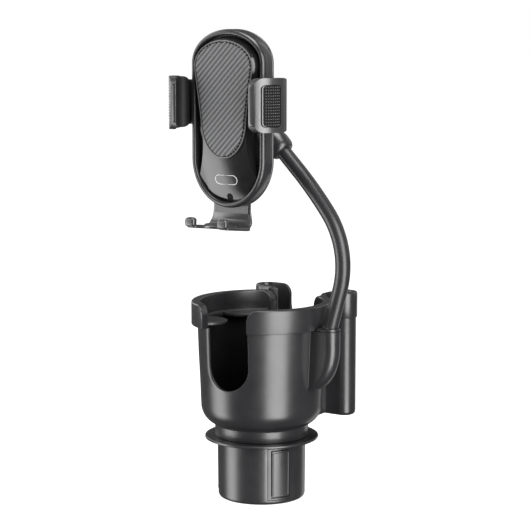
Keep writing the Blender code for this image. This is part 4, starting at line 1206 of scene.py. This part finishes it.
def back_shell():
    """Rear cover with a soft edge, its screws and the collar round the ball."""
    back = cover_high_depth
    front = FRAME_BACK + 0.3
    section_rings = []
    frames = outline_frames()
    stack = [(0.25, front), (0, front + 0.25)] + [(2.4 - x, back - 2.4 + y) for x, y in arc((0, 0), (2.4, 2.4), 0, 90, 6)][0:0]
    stack = [(0.3, front), (0, front + 0.3), (0, back - 1.6), (0.25, back - 0.9), (0.8, back - 0.35), (1.6, back), (3.2, back)]
    rings = []
    for inset, d in stack:
        rings.append([((p - n * inset).x, depth(d), (p - n * inset).y) for p, n in frames])
    shell = loft(rings)
    for x, z in CRADLE_SCREWS:
        boolean(shell, turned([(0, 0), (2.9, 0), (2.9, 6), (0, 6)], 24, facing((x, depth(10.5), z), (0, 1, 0))))
    done(shell, "back_shell", "cradle", "satin_black", "rear_cover", crease=40)
    for number, (x, z) in enumerate(CRADLE_SCREWS, 1):
        head = [(0.02, 1.2), (1.1, 1.2), (1.15, 1.9), (1.9, 2.1), (2.45, 1.9), (2.6, 1.4), (2.6, 0.6), (0.02, 0.6)]
        made = turned(head, 28, facing((x, depth(9.6), z), (0, 1, 0)))
        done(made, f"back_screw_{number}", "cradle", "zinc_steel", f"cradle_screw_{number}")
    profile = [(8.9, 0), (14.5, 0), (14.4, 0.5), (13.6, 0.9), (11.4, 1.0), (11.2, 1.3), (11.2, 12.2), (10.9, 12.5), (10.65, 12.2), (10.65, 1.2)]
    collar = turned(profile, 72, facing((0, depth(back - 0.3), BALL.z), (0, 1, 0)))
    done(collar, "ball_collar", "cradle", "satin_black")


cover_high_depth = 12.0
CRADLE_SCREWS = ((17.5, 333.0), (-17.5, 333.0), (19.8, 245.0), (-19.8, 245.0))


# ---------------------------------------------------------------- clamps and foot

clamp_low, clamp_high = box_mm("clamp_right")
JAW_LOW, JAW_HIGH = 277.0, 315.0
JAW_CURVE = ((-6.6, 44.4), (-5.4, 46.6), (-3.2, 47.6), (0, 47.7), (4, 47.0), (10, 44.9), (14, 42.5), (17, 39.9), (19.5, 36.9), (21.3, 34.2), (22.2, 32.6))
JAW_THICK = 3.6
GRIP_BACK = 3.5
JAW_FRONT_RADII = (6.5, 13.0)
JAW_BACK_RADII = (8.5, 3.6)


def rounded_path(points, passes=3):
    """Cuts the corners of an open path until it is smooth."""
    for _ in range(passes):
        cut = [points[0]]
        for (a, b), (c, d) in zip(points, points[1:]):
            cut += [(a * 0.75 + c * 0.25, b * 0.75 + d * 0.25), (a * 0.25 + c * 0.75, b * 0.25 + d * 0.75)]
        points = cut + [points[-1]]
    return points


JAW_PATH = rounded_path(JAW_CURVE)


def jaw_point(forward, inward):
    """A point of the jaw's plan at a distance forward of the rim, moved in from its outer face."""
    fs = [p[0] for p in JAW_PATH]
    xs = [p[1] for p in JAW_PATH]
    x = float(np.interp(forward, fs, xs))
    ahead = float(np.interp(forward + 1.2, fs, xs))
    behind = float(np.interp(forward - 1.2, fs, xs))
    run = Vector((2.4, ahead - behind)).normalized()
    return x - inward * run.x, depth(-(forward + inward * run.y))


def jaw_front(z):
    """How far forward the jaw reaches at a height: its front is a tall ellipse."""
    forward, tall = JAW_FRONT_RADII
    edge = max(0.0, min(z - JAW_LOW, JAW_HIGH - z, tall))
    return 22.0 - forward + forward * sqrt(1 - (1 - edge / tall) ** 2)


def jaw_ring(z, outer, inner, back, front):
    forwards = spread(back, front, 26)
    loop = [jaw_point(f, outer) for f in forwards]
    middle = (outer + inner) / 2
    reach = (inner - outer) / 2
    for angle in range(-75, 76, 15):
        f = front + reach * cos(radians(angle)) * 0.9
        loop.append(jaw_point(f, middle + reach * sin(radians(angle))))
    loop += [jaw_point(f, inner) for f in forwards[::-1]]
    return [(x, y, z) for x, y in loop]


def grip_corner(edge):
    """How far the grip's rounded corner comes in at a distance from its end."""
    return 0.0 if edge > 3 else 3 - sqrt(max(0.0, 9 - (3 - edge) ** 2))


def jaw(side, name):
    front, back = depth(-21.9), depth(6.3)
    outline = []
    for y, z, radii, start in (
        (front, JAW_LOW, JAW_FRONT_RADII, 180),
        (back, JAW_LOW, JAW_BACK_RADII, 270),
        (back, JAW_HIGH, JAW_BACK_RADII, 0),
        (front, JAW_HIGH, JAW_FRONT_RADII, 90),
    ):
        centre = (y + radii[0] * (1 if y == front else -1), z + radii[1] * (1 if z == JAW_LOW else -1))
        outline += arc(centre, radii, start, start + 90, 16)
    body = loft([jaw_ring(z, 0, JAW_THICK, -6.4, 20.4) for z in (JAW_LOW - 1, JAW_HIGH + 1)])
    boolean(body, weld(slab(outline, along_x, 15, 70)), "INTERSECT")
    grip_low, grip_high = box_mm(f"grip_{name}")
    opening = []
    for z in eased(grip_low.z - 0.3, grip_high.z + 0.3, 24):
        corner = grip_corner(min(z - grip_low.z, grip_high.z - z) + 0.3)
        opening.append(jaw_ring(z, -1.5, 1.4, GRIP_BACK - 0.3 + corner, 15.9 - corner))
    boolean(body, loft(opening))
    plate = box((CLAMP_ROOT, depth(5.0), 279.8), (45.0, depth(6.8), 312.2))
    soften(plate, 0.3, 2)
    web = box((CUSHION_END, depth(4.95), 280.2), (45.2, depth(6.85), 311.8))
    soften(web, 0.6, 3)
    pin = turned([(0, 0), (1.5, 0), (1.5, 3.6), (1.3, 3.8), (0, 3.8)], 24, facing((12, depth(5.4), 296), (0, 1, 0)))
    body = merged([body, plate, web, pin])
    if side < 0:
        mirrored(body)
    # painted light: the right jaw gets a lighter, glossier copy of satin black than the left, for its lit lip
    look = "satin_painted_light" if side > 0 else "satin_black"
    done(body, f"jaw_{name}", f"clamp_{name}", look, f"clamp_{name}", crease=42)


CLAMP_ROOT = 9.3
CUSHION_END = 38.6
# painted light: a lighter, glossier copy of satin black, also used on the foot
LOOK["satin_painted_light"] = moulded("satin_painted_light", (0.017, 0.017, 0.018), 0.32, 4200, 0.004, specular=0.9)


def grip(side, name):
    """Rubber insert on the jaw's outside, covered in rows of small domed studs."""
    low, high = box_mm(f"grip_{name}")
    rings = []
    for z in eased(low.z, high.z, 30):
        cut_in = grip_corner(min(z - low.z, high.z - z))
        loop = [jaw_point(f, 0.3) for f in spread(GRIP_BACK + cut_in, 15.4 - cut_in, 12)]
        loop += [jaw_point(f, 1.2) for f in spread(15.4 - cut_in, GRIP_BACK + cut_in, 12)]
        rings.append([(x, y, z) for x, y in loop])
    made = loft(rings)
    if side < 0:
        mirrored(made)
    done(made, f"grip_base_{name}", f"clamp_{name}", "deep_black", f"grip_{name}", crease=50)
    # painted highlight: the studs get a lighter grey than the grip base
    parts = []
    for column in range(GRIP_COLUMNS):
        forward = GRIP_BACK + 1.2 + column * 9.5 / (GRIP_COLUMNS - 1)
        for row in range(GRIP_ROWS):
            z = low.z + 1.5 + (high.z - low.z - 3.0) * row / (GRIP_ROWS - 1)
            x, y = jaw_point(forward, 0.4)
            ahead = jaw_point(forward, -0.6)
            out = Vector((ahead[0] - x, ahead[1] - y, 0)).normalized()
            stud = [(0.02, 0), (0.50, 0), (0.46, 0.3), (0.30, 0.5), (0.02, 0.56)]
            parts.append(turned(stud, 10, facing((x, y, z), out)))
    made = merged(parts)
    if side < 0:
        mirrored(made)
    done(made, f"grip_studs_{name}", f"clamp_{name}", "stud_painted_highlight", crease=50)


GRIP_COLUMNS = 7
GRIP_ROWS = 14


def cushion_path():
    """Plan of the inner pad with its normals: down the jaw's inside and round into the plate."""
    path = []
    for forward in spread(19.8, 2.5, 24):
        x, y = jaw_point(forward, JAW_THICK - 0.1)
        path.append((Vector((max(x, HALF + 7.6), y)), Vector((-1, 0))))
    corner_x, corner_y = path[-1][0]
    floor_y = depth(4.95)
    reach = floor_y - corner_y
    for angle in spread(0, 90, 12)[1:]:
        a = radians(angle)
        point = Vector((corner_x - reach * (1 - cos(a)), corner_y + reach * sin(a)))
        path.append((point, Vector((-cos(a), -sin(a)))))
    if path[-1][0].x > CUSHION_END:
        path.append((Vector((CUSHION_END, floor_y)), Vector((0, -1))))
    return path


def cushion_ring(z, thick, low, high):
    """The pad's outline at a height, cut back at the rounded corners of both its ends."""
    path = cushion_path()
    edge = min(z - low, high - z)
    front = depth(-min(jaw_front(z) - 2.2, 19.8))
    corner = 0.0 if edge > 6 else 6 - sqrt(max(0.0, 36 - (6 - edge) ** 2))
    lengths = [0.0]
    for (a, _), (b, _) in zip(path, path[1:]):
        lengths.append(lengths[-1] + (b - a).length)
    ys = [p.y for p, _ in path]
    start = float(np.interp(front, ys[:24], lengths[:24]))
    stops = spread(start, lengths[-1] - corner, 44)
    columns = []
    for values in ([p.x for p, _ in path], ys, [n.x for _, n in path], [n.y for _, n in path]):
        columns.append(np.interp(stops, lengths, values))
    inner = [(float(x), float(y), z) for x, y in zip(columns[0], columns[1])]
    outer = [(float(x + a * thick), float(y + b * thick), z) for x, y, a, b in zip(*columns)]
    return inner + outer[::-1]


def jaw_cushion(side, name):
    """Smooth rubber pad inside the jaw, curved round into its plate."""
    low, high = JAW_LOW + 0.5, JAW_HIGH - 0.5
    stack = [(low, 0.3), (low + 0.25, 0.8), (low + 0.8, 1.1)]
    stack += [(z, 1.1) for z in spread(low + 1.4, high - 1.4, 40)]
    stack += [(high - 0.8, 1.1), (high - 0.25, 0.8), (high, 0.3)]
    parts = [loft([cushion_ring(z, thick, low, high) for z, thick in stack])]
    made = merged(parts)
    if side < 0:
        mirrored(made)
    done(made, f"jaw_cushion_{name}", f"clamp_{name}", "cushion_black", f"jaw_pad_{name}", crease=50)


foot_low, foot_high = box_mm("foot")
SHELF_LOW = foot_low.z - 1.0
SHELF_TOP = SHELF_LOW + 3.5
SHELF_HALF = 18.2
RISER_HALF = 15.9
RISER_DEPTH = 3.9


def shelf():
    """Forked shelf with hooked tips, swept up into the slider plate."""
    front = depth(-27)
    gap_half, gap_back = 9.8, depth(-13)
    low, high = depth(RISER_DEPTH), depth(RISER_DEPTH + 1.6)
    plan = [(SHELF_HALF - 2.0, depth(4)), (SHELF_HALF - 0.6, depth(2)), (SHELF_HALF, depth(-1)), (SHELF_HALF + 0.5, depth(-7))]
    plan += [(SHELF_HALF + 0.3, depth(-15)), (18.2, depth(-22))]
    plan += arc((16.2, front + 2), (2, 2), 0, -90, 5) + arc((gap_half + 2, front + 2), (2, 2), -90, -180, 5)
    right = plan + arc((0, gap_back - gap_half), (gap_half, gap_half), 0, 90, 14)
    outline = right + [(-x, y) for x, y in right[::-1]][1:]
    floor = slab(outline, along_z, SHELF_LOW + 1.2, SHELF_TOP)
    soften(floor, 0.95, 4, 40)
    inner = arc((low - 8, SHELF_TOP + 8), (8, 8), -90, 0, 14)
    outer = arc((high - 10, SHELF_LOW + 11.2), (10, 10), -90, 0, 14)
    profile = [(low - 12, SHELF_TOP)] + inner + [(low, 222), (high, 222)] + outer[::-1] + [(high - 14, SHELF_LOW + 1.2)]
    riser = slab(profile, along_x, -RISER_HALF, RISER_HALF)
    soften(riser, 0.7, 3, 50)
    for vertex in riser.data.vertices:
        low_down = max(0.0, min(1.0, (221 - vertex.co.z / MM) / 11))
        vertex.co.x *= 1 + (SHELF_HALF / RISER_HALF - 1) * low_down**1.6
    parts = [floor, riser]
    stack = ((1.7, 206.1), (0.9, 206.3), (0.3, 206.9), (0, 207.8), (0, 212.6), (0.25, 214.0), (0.8, 215.1), (1.6, 215.7), (2.6, 215.9))
    for side in (-1, 1):
        centre = side * 14
        rings = []
        for inset, z in stack:
            lean = max(0.0, z - 209) * 0.10
            corner_low = (centre - 4.2 + inset, front - 2.3 + inset * 0.6 + lean)
            corner_high = (centre + 4.2 - inset, front + 2.2 - inset * 0.6 + lean)
            rings.append([(x, y, z) for x, y in rounded_box_outline(corner_low, corner_high, 1.45 - inset * 0.15, 6)])
        parts.append(loft(rings))
    for part in parts:
        for vertex in part.data.vertices:
            low_down = max(0.0, min(1.0, (215.5 - vertex.co.z / MM) / 7))
            forward = max(0.0, (depth(0) - vertex.co.y / MM) / 27)
            vertex.co.z += 3.2 * forward * low_down * MM
    plate = box((-15.9, low, 216), (15.9, high, 262))
    low, high = depth(7.2), depth(8.8)
    step = box((-15.9, depth(RISER_DEPTH), 260), (15.9, high, 262))
    upper = box((-15.9, low, 260), (15.9, high, 288))
    cam = box((-23, low, 283), (23, high, 307.5))
    for slot_side in (-1, 1):
        start, end = Vector((12 - 6.3, 303)), Vector((12 + 6.3, 289))
        run = (end - start).normalized()
        across = Vector((-run.y, run.x))
        turn = degrees(atan2(across.y, across.x))
        oval = arc(start, (1.9, 1.9), turn, turn + 180, 8) + arc(end, (1.9, 1.9), turn + 180, turn + 360, 8)
        oval = [(slot_side * x, z) for x, z in oval]
        cutter = weld(slab(oval, along_y, low - 2, high + 2))
        boolean(cam, cutter)
    parts += [soften(plate, 0.25, 2), step, upper, cam]
    made = merged(parts)
    made.visible_glossy = False
    # painted light: the foot shares the lighter copy of satin black
    done(made, "foot_shelf", "foot", "satin_painted_light", "foot", crease=40)


def shelf_inlays():
    """Rubber inlays on the shelf's floor and on the riser."""
    low, high = box_mm("foot_pad")
    mat = slab(rounded_box_outline((low.x, low.y), (high.x, high.y), 1.8, 5), along_z, SHELF_TOP - 0.2, high.z)
    soften(mat, 0.35, 2, 40)
    ribs = [mat]
    for i in range(5):
        y = low.y + 1.5 + i * (high.y - low.y - 3) / 4
        ribs.append(soften(box((low.x + 2, y - 0.3, high.z - 0.1), (high.x - 2, y + 0.3, high.z + 0.25)), 0.12, 2))
    done(merged(ribs), "shelf_mat", "foot", "soft_black", "foot_pad")
    face = depth(RISER_DEPTH)
    upper = slab(rounded_box_outline((-14.6, 214.0), (14.6, 223.0), 1.0, 5), along_y, face - 0.42, face + 0.1)
    lower = slab(rounded_box_outline((-15.2, 211.4), (15.2, 217.4), 1.2, 5), along_y, face - 0.45, face + 0.1)
    soften(lower, 0.2, 3, 40)
    # painted light: the riser inlay uses the lighter copy of satin black
    done(merged([upper, lower]), "riser_inlay", "foot", "satin_painted_light")


# ---------------------------------------------------------------- carried CAD nodes


def finish_cad_nodes():
    """Procedural materials on the frame's own nodes that stay in view."""
    slots = {row["node"]: row["material_slot"] for row in frame["record"]["subparts"]}
    for name, obj in frame["nodes"].items():
        obj.data.materials.clear()
        obj.data.materials.append(LOOK[slots[name]])
        if not obj.hide_render:
            smooth(obj, 32)


# ---------------------------------------------------------------- stage, light and camera


WHITE = (1, 1, 1, 1)
SURROUND = 0.15
VIEW_AZIMUTH = 34.0
CENTRE = Vector((0, 0, 180))


def for_camera(tree, seen, other, shader_input):
    """Shows one shader to the camera and another to every other ray."""
    path = tree.nodes.new("ShaderNodeLightPath")
    either = tree.nodes.new("ShaderNodeMixShader")
    tree.links.new(path.outputs["Is Camera Ray"], either.inputs["Fac"])
    tree.links.new(other, either.inputs[1])
    tree.links.new(seen, either.inputs[2])
    tree.links.new(either.outputs["Shader"], shader_input)


def stage():
    """White backdrop and floor that throw no light on the object, so that only the soft boxes shape it."""
    floor = solid([(-4000, -4000, 0), (4000, -4000, 0), (4000, 4000, 0), (-4000, 4000, 0)], [[0, 1, 2, 3]])
    floor.name = "floor"
    floor.location.z = -0.2 * MM
    made = Nodes("floor")
    tint = made.ranged(made.noise(3), 0, 1)
    made.link(made.mix(tint, (0.30, 0.30, 0.30), (0.32, 0.32, 0.32)), made.shader.inputs["Base Color"])
    made.shader.inputs["Roughness"].default_value = 0.9
    made.shader.inputs["Emission Color"].default_value = WHITE
    made.shader.inputs["Emission Strength"].default_value = 1.0
    floor.data.materials.append(made.material)
    floor.visible_glossy = False
    floor.visible_diffuse = False
    floor.visible_shadow = False
    world = bpy.data.worlds.new("studio")
    bpy.context.scene.world = world
    world.use_nodes = True
    tree = world.node_tree
    seen = tree.nodes["Background"]
    seen.inputs["Color"].default_value = WHITE
    seen.inputs["Strength"].default_value = 1.0
    dim = tree.nodes.new("ShaderNodeBackground")
    dim.inputs["Color"].default_value = WHITE
    dim.inputs["Strength"].default_value = SURROUND
    output = tree.nodes["World Output"]
    for_camera(tree, seen.outputs["Background"], dim.outputs["Background"], output.inputs["Surface"])
    bpy.context.scene.view_settings.view_transform = "Standard"


def light(name, azimuth, elevation, distance, width, height, power):
    """A soft box at an azimuth from the front, which shines at the object's middle."""
    a, e = radians(azimuth), radians(elevation)
    away = Vector((sin(a) * cos(e), -cos(a) * cos(e), sin(e)))
    data = bpy.data.lights.new(name, "AREA")
    data.shape = "RECTANGLE"
    data.size = width * MM
    data.size_y = height * MM
    data.energy = power
    lamp = bpy.data.objects.new(name, data)
    bpy.context.scene.collection.objects.link(lamp)
    lamp.location = (CENTRE + away * distance) * MM
    lamp.rotation_mode = "QUATERNION"
    lamp.rotation_quaternion = (-away).to_track_quat("-Z", "Y")
    lamp.visible_camera = False


def lights():
    light("key_right", VIEW_AZIMUTH + 28, 0, 1600, 1050, 2400, 68)
    light("side_left", VIEW_AZIMUTH - 88, 0, 1100, 660, 2000, 15)
    light("front_left", VIEW_AZIMUTH - 80, -16, 1100, 520, 700, 3.2)
    light("behind_left", VIEW_AZIMUTH - 140, 25, 1700, 900, 1600, 10)
    light("behind_right", VIEW_AZIMUTH + 110, 25, 1700, 700, 1600, 3)
    light("rim_right", VIEW_AZIMUTH + 146, 0, 1100, 360, 2000, 2.0)
    light("top", VIEW_AZIMUTH, 78, 1200, 800, 800, 18)


def camera():
    data = bpy.data.cameras.new("camera")
    data.lens = 120.1
    data.sensor_width = 36.0
    made = bpy.data.objects.new("camera", data)
    bpy.context.scene.collection.objects.link(made)
    made.location = (0.7290, -1.0763, 0.3564)
    pitch = radians(7.96)
    a = radians(VIEW_AZIMUTH)
    look = Vector((-sin(a) * cos(pitch), cos(a) * cos(pitch), -sin(pitch)))
    made.rotation_mode = "QUATERNION"
    made.rotation_quaternion = look.to_track_quat("-Z", "Y")
    bpy.context.scene.camera = made


# ---------------------------------------------------------------- assembly

base_drum()
base_flange()
tab_faces()
cup_wall()
cup_floor()
for half_side in (1, -1):
    cup_band(half_side)
cup_liner()
for fin_number in range(1, 5):
    fin_flap(fin_number)
pocket()
neck_skins()
socket_body()
socket_collar()
ferrule()
elbow_stud()
grip_nut()
rim()
face_shell()
weave_pad()
badge()
release_notch_painted_shade()
back_shell()
for clamp_side, clamp_name in ((1, "right"), (-1, "left")):
    jaw(clamp_side, clamp_name)
    grip(clamp_side, clamp_name)
    jaw_cushion(clamp_side, clamp_name)
shelf()
shelf_inlays()
finish_cad_nodes()
stage()
lights()
camera()
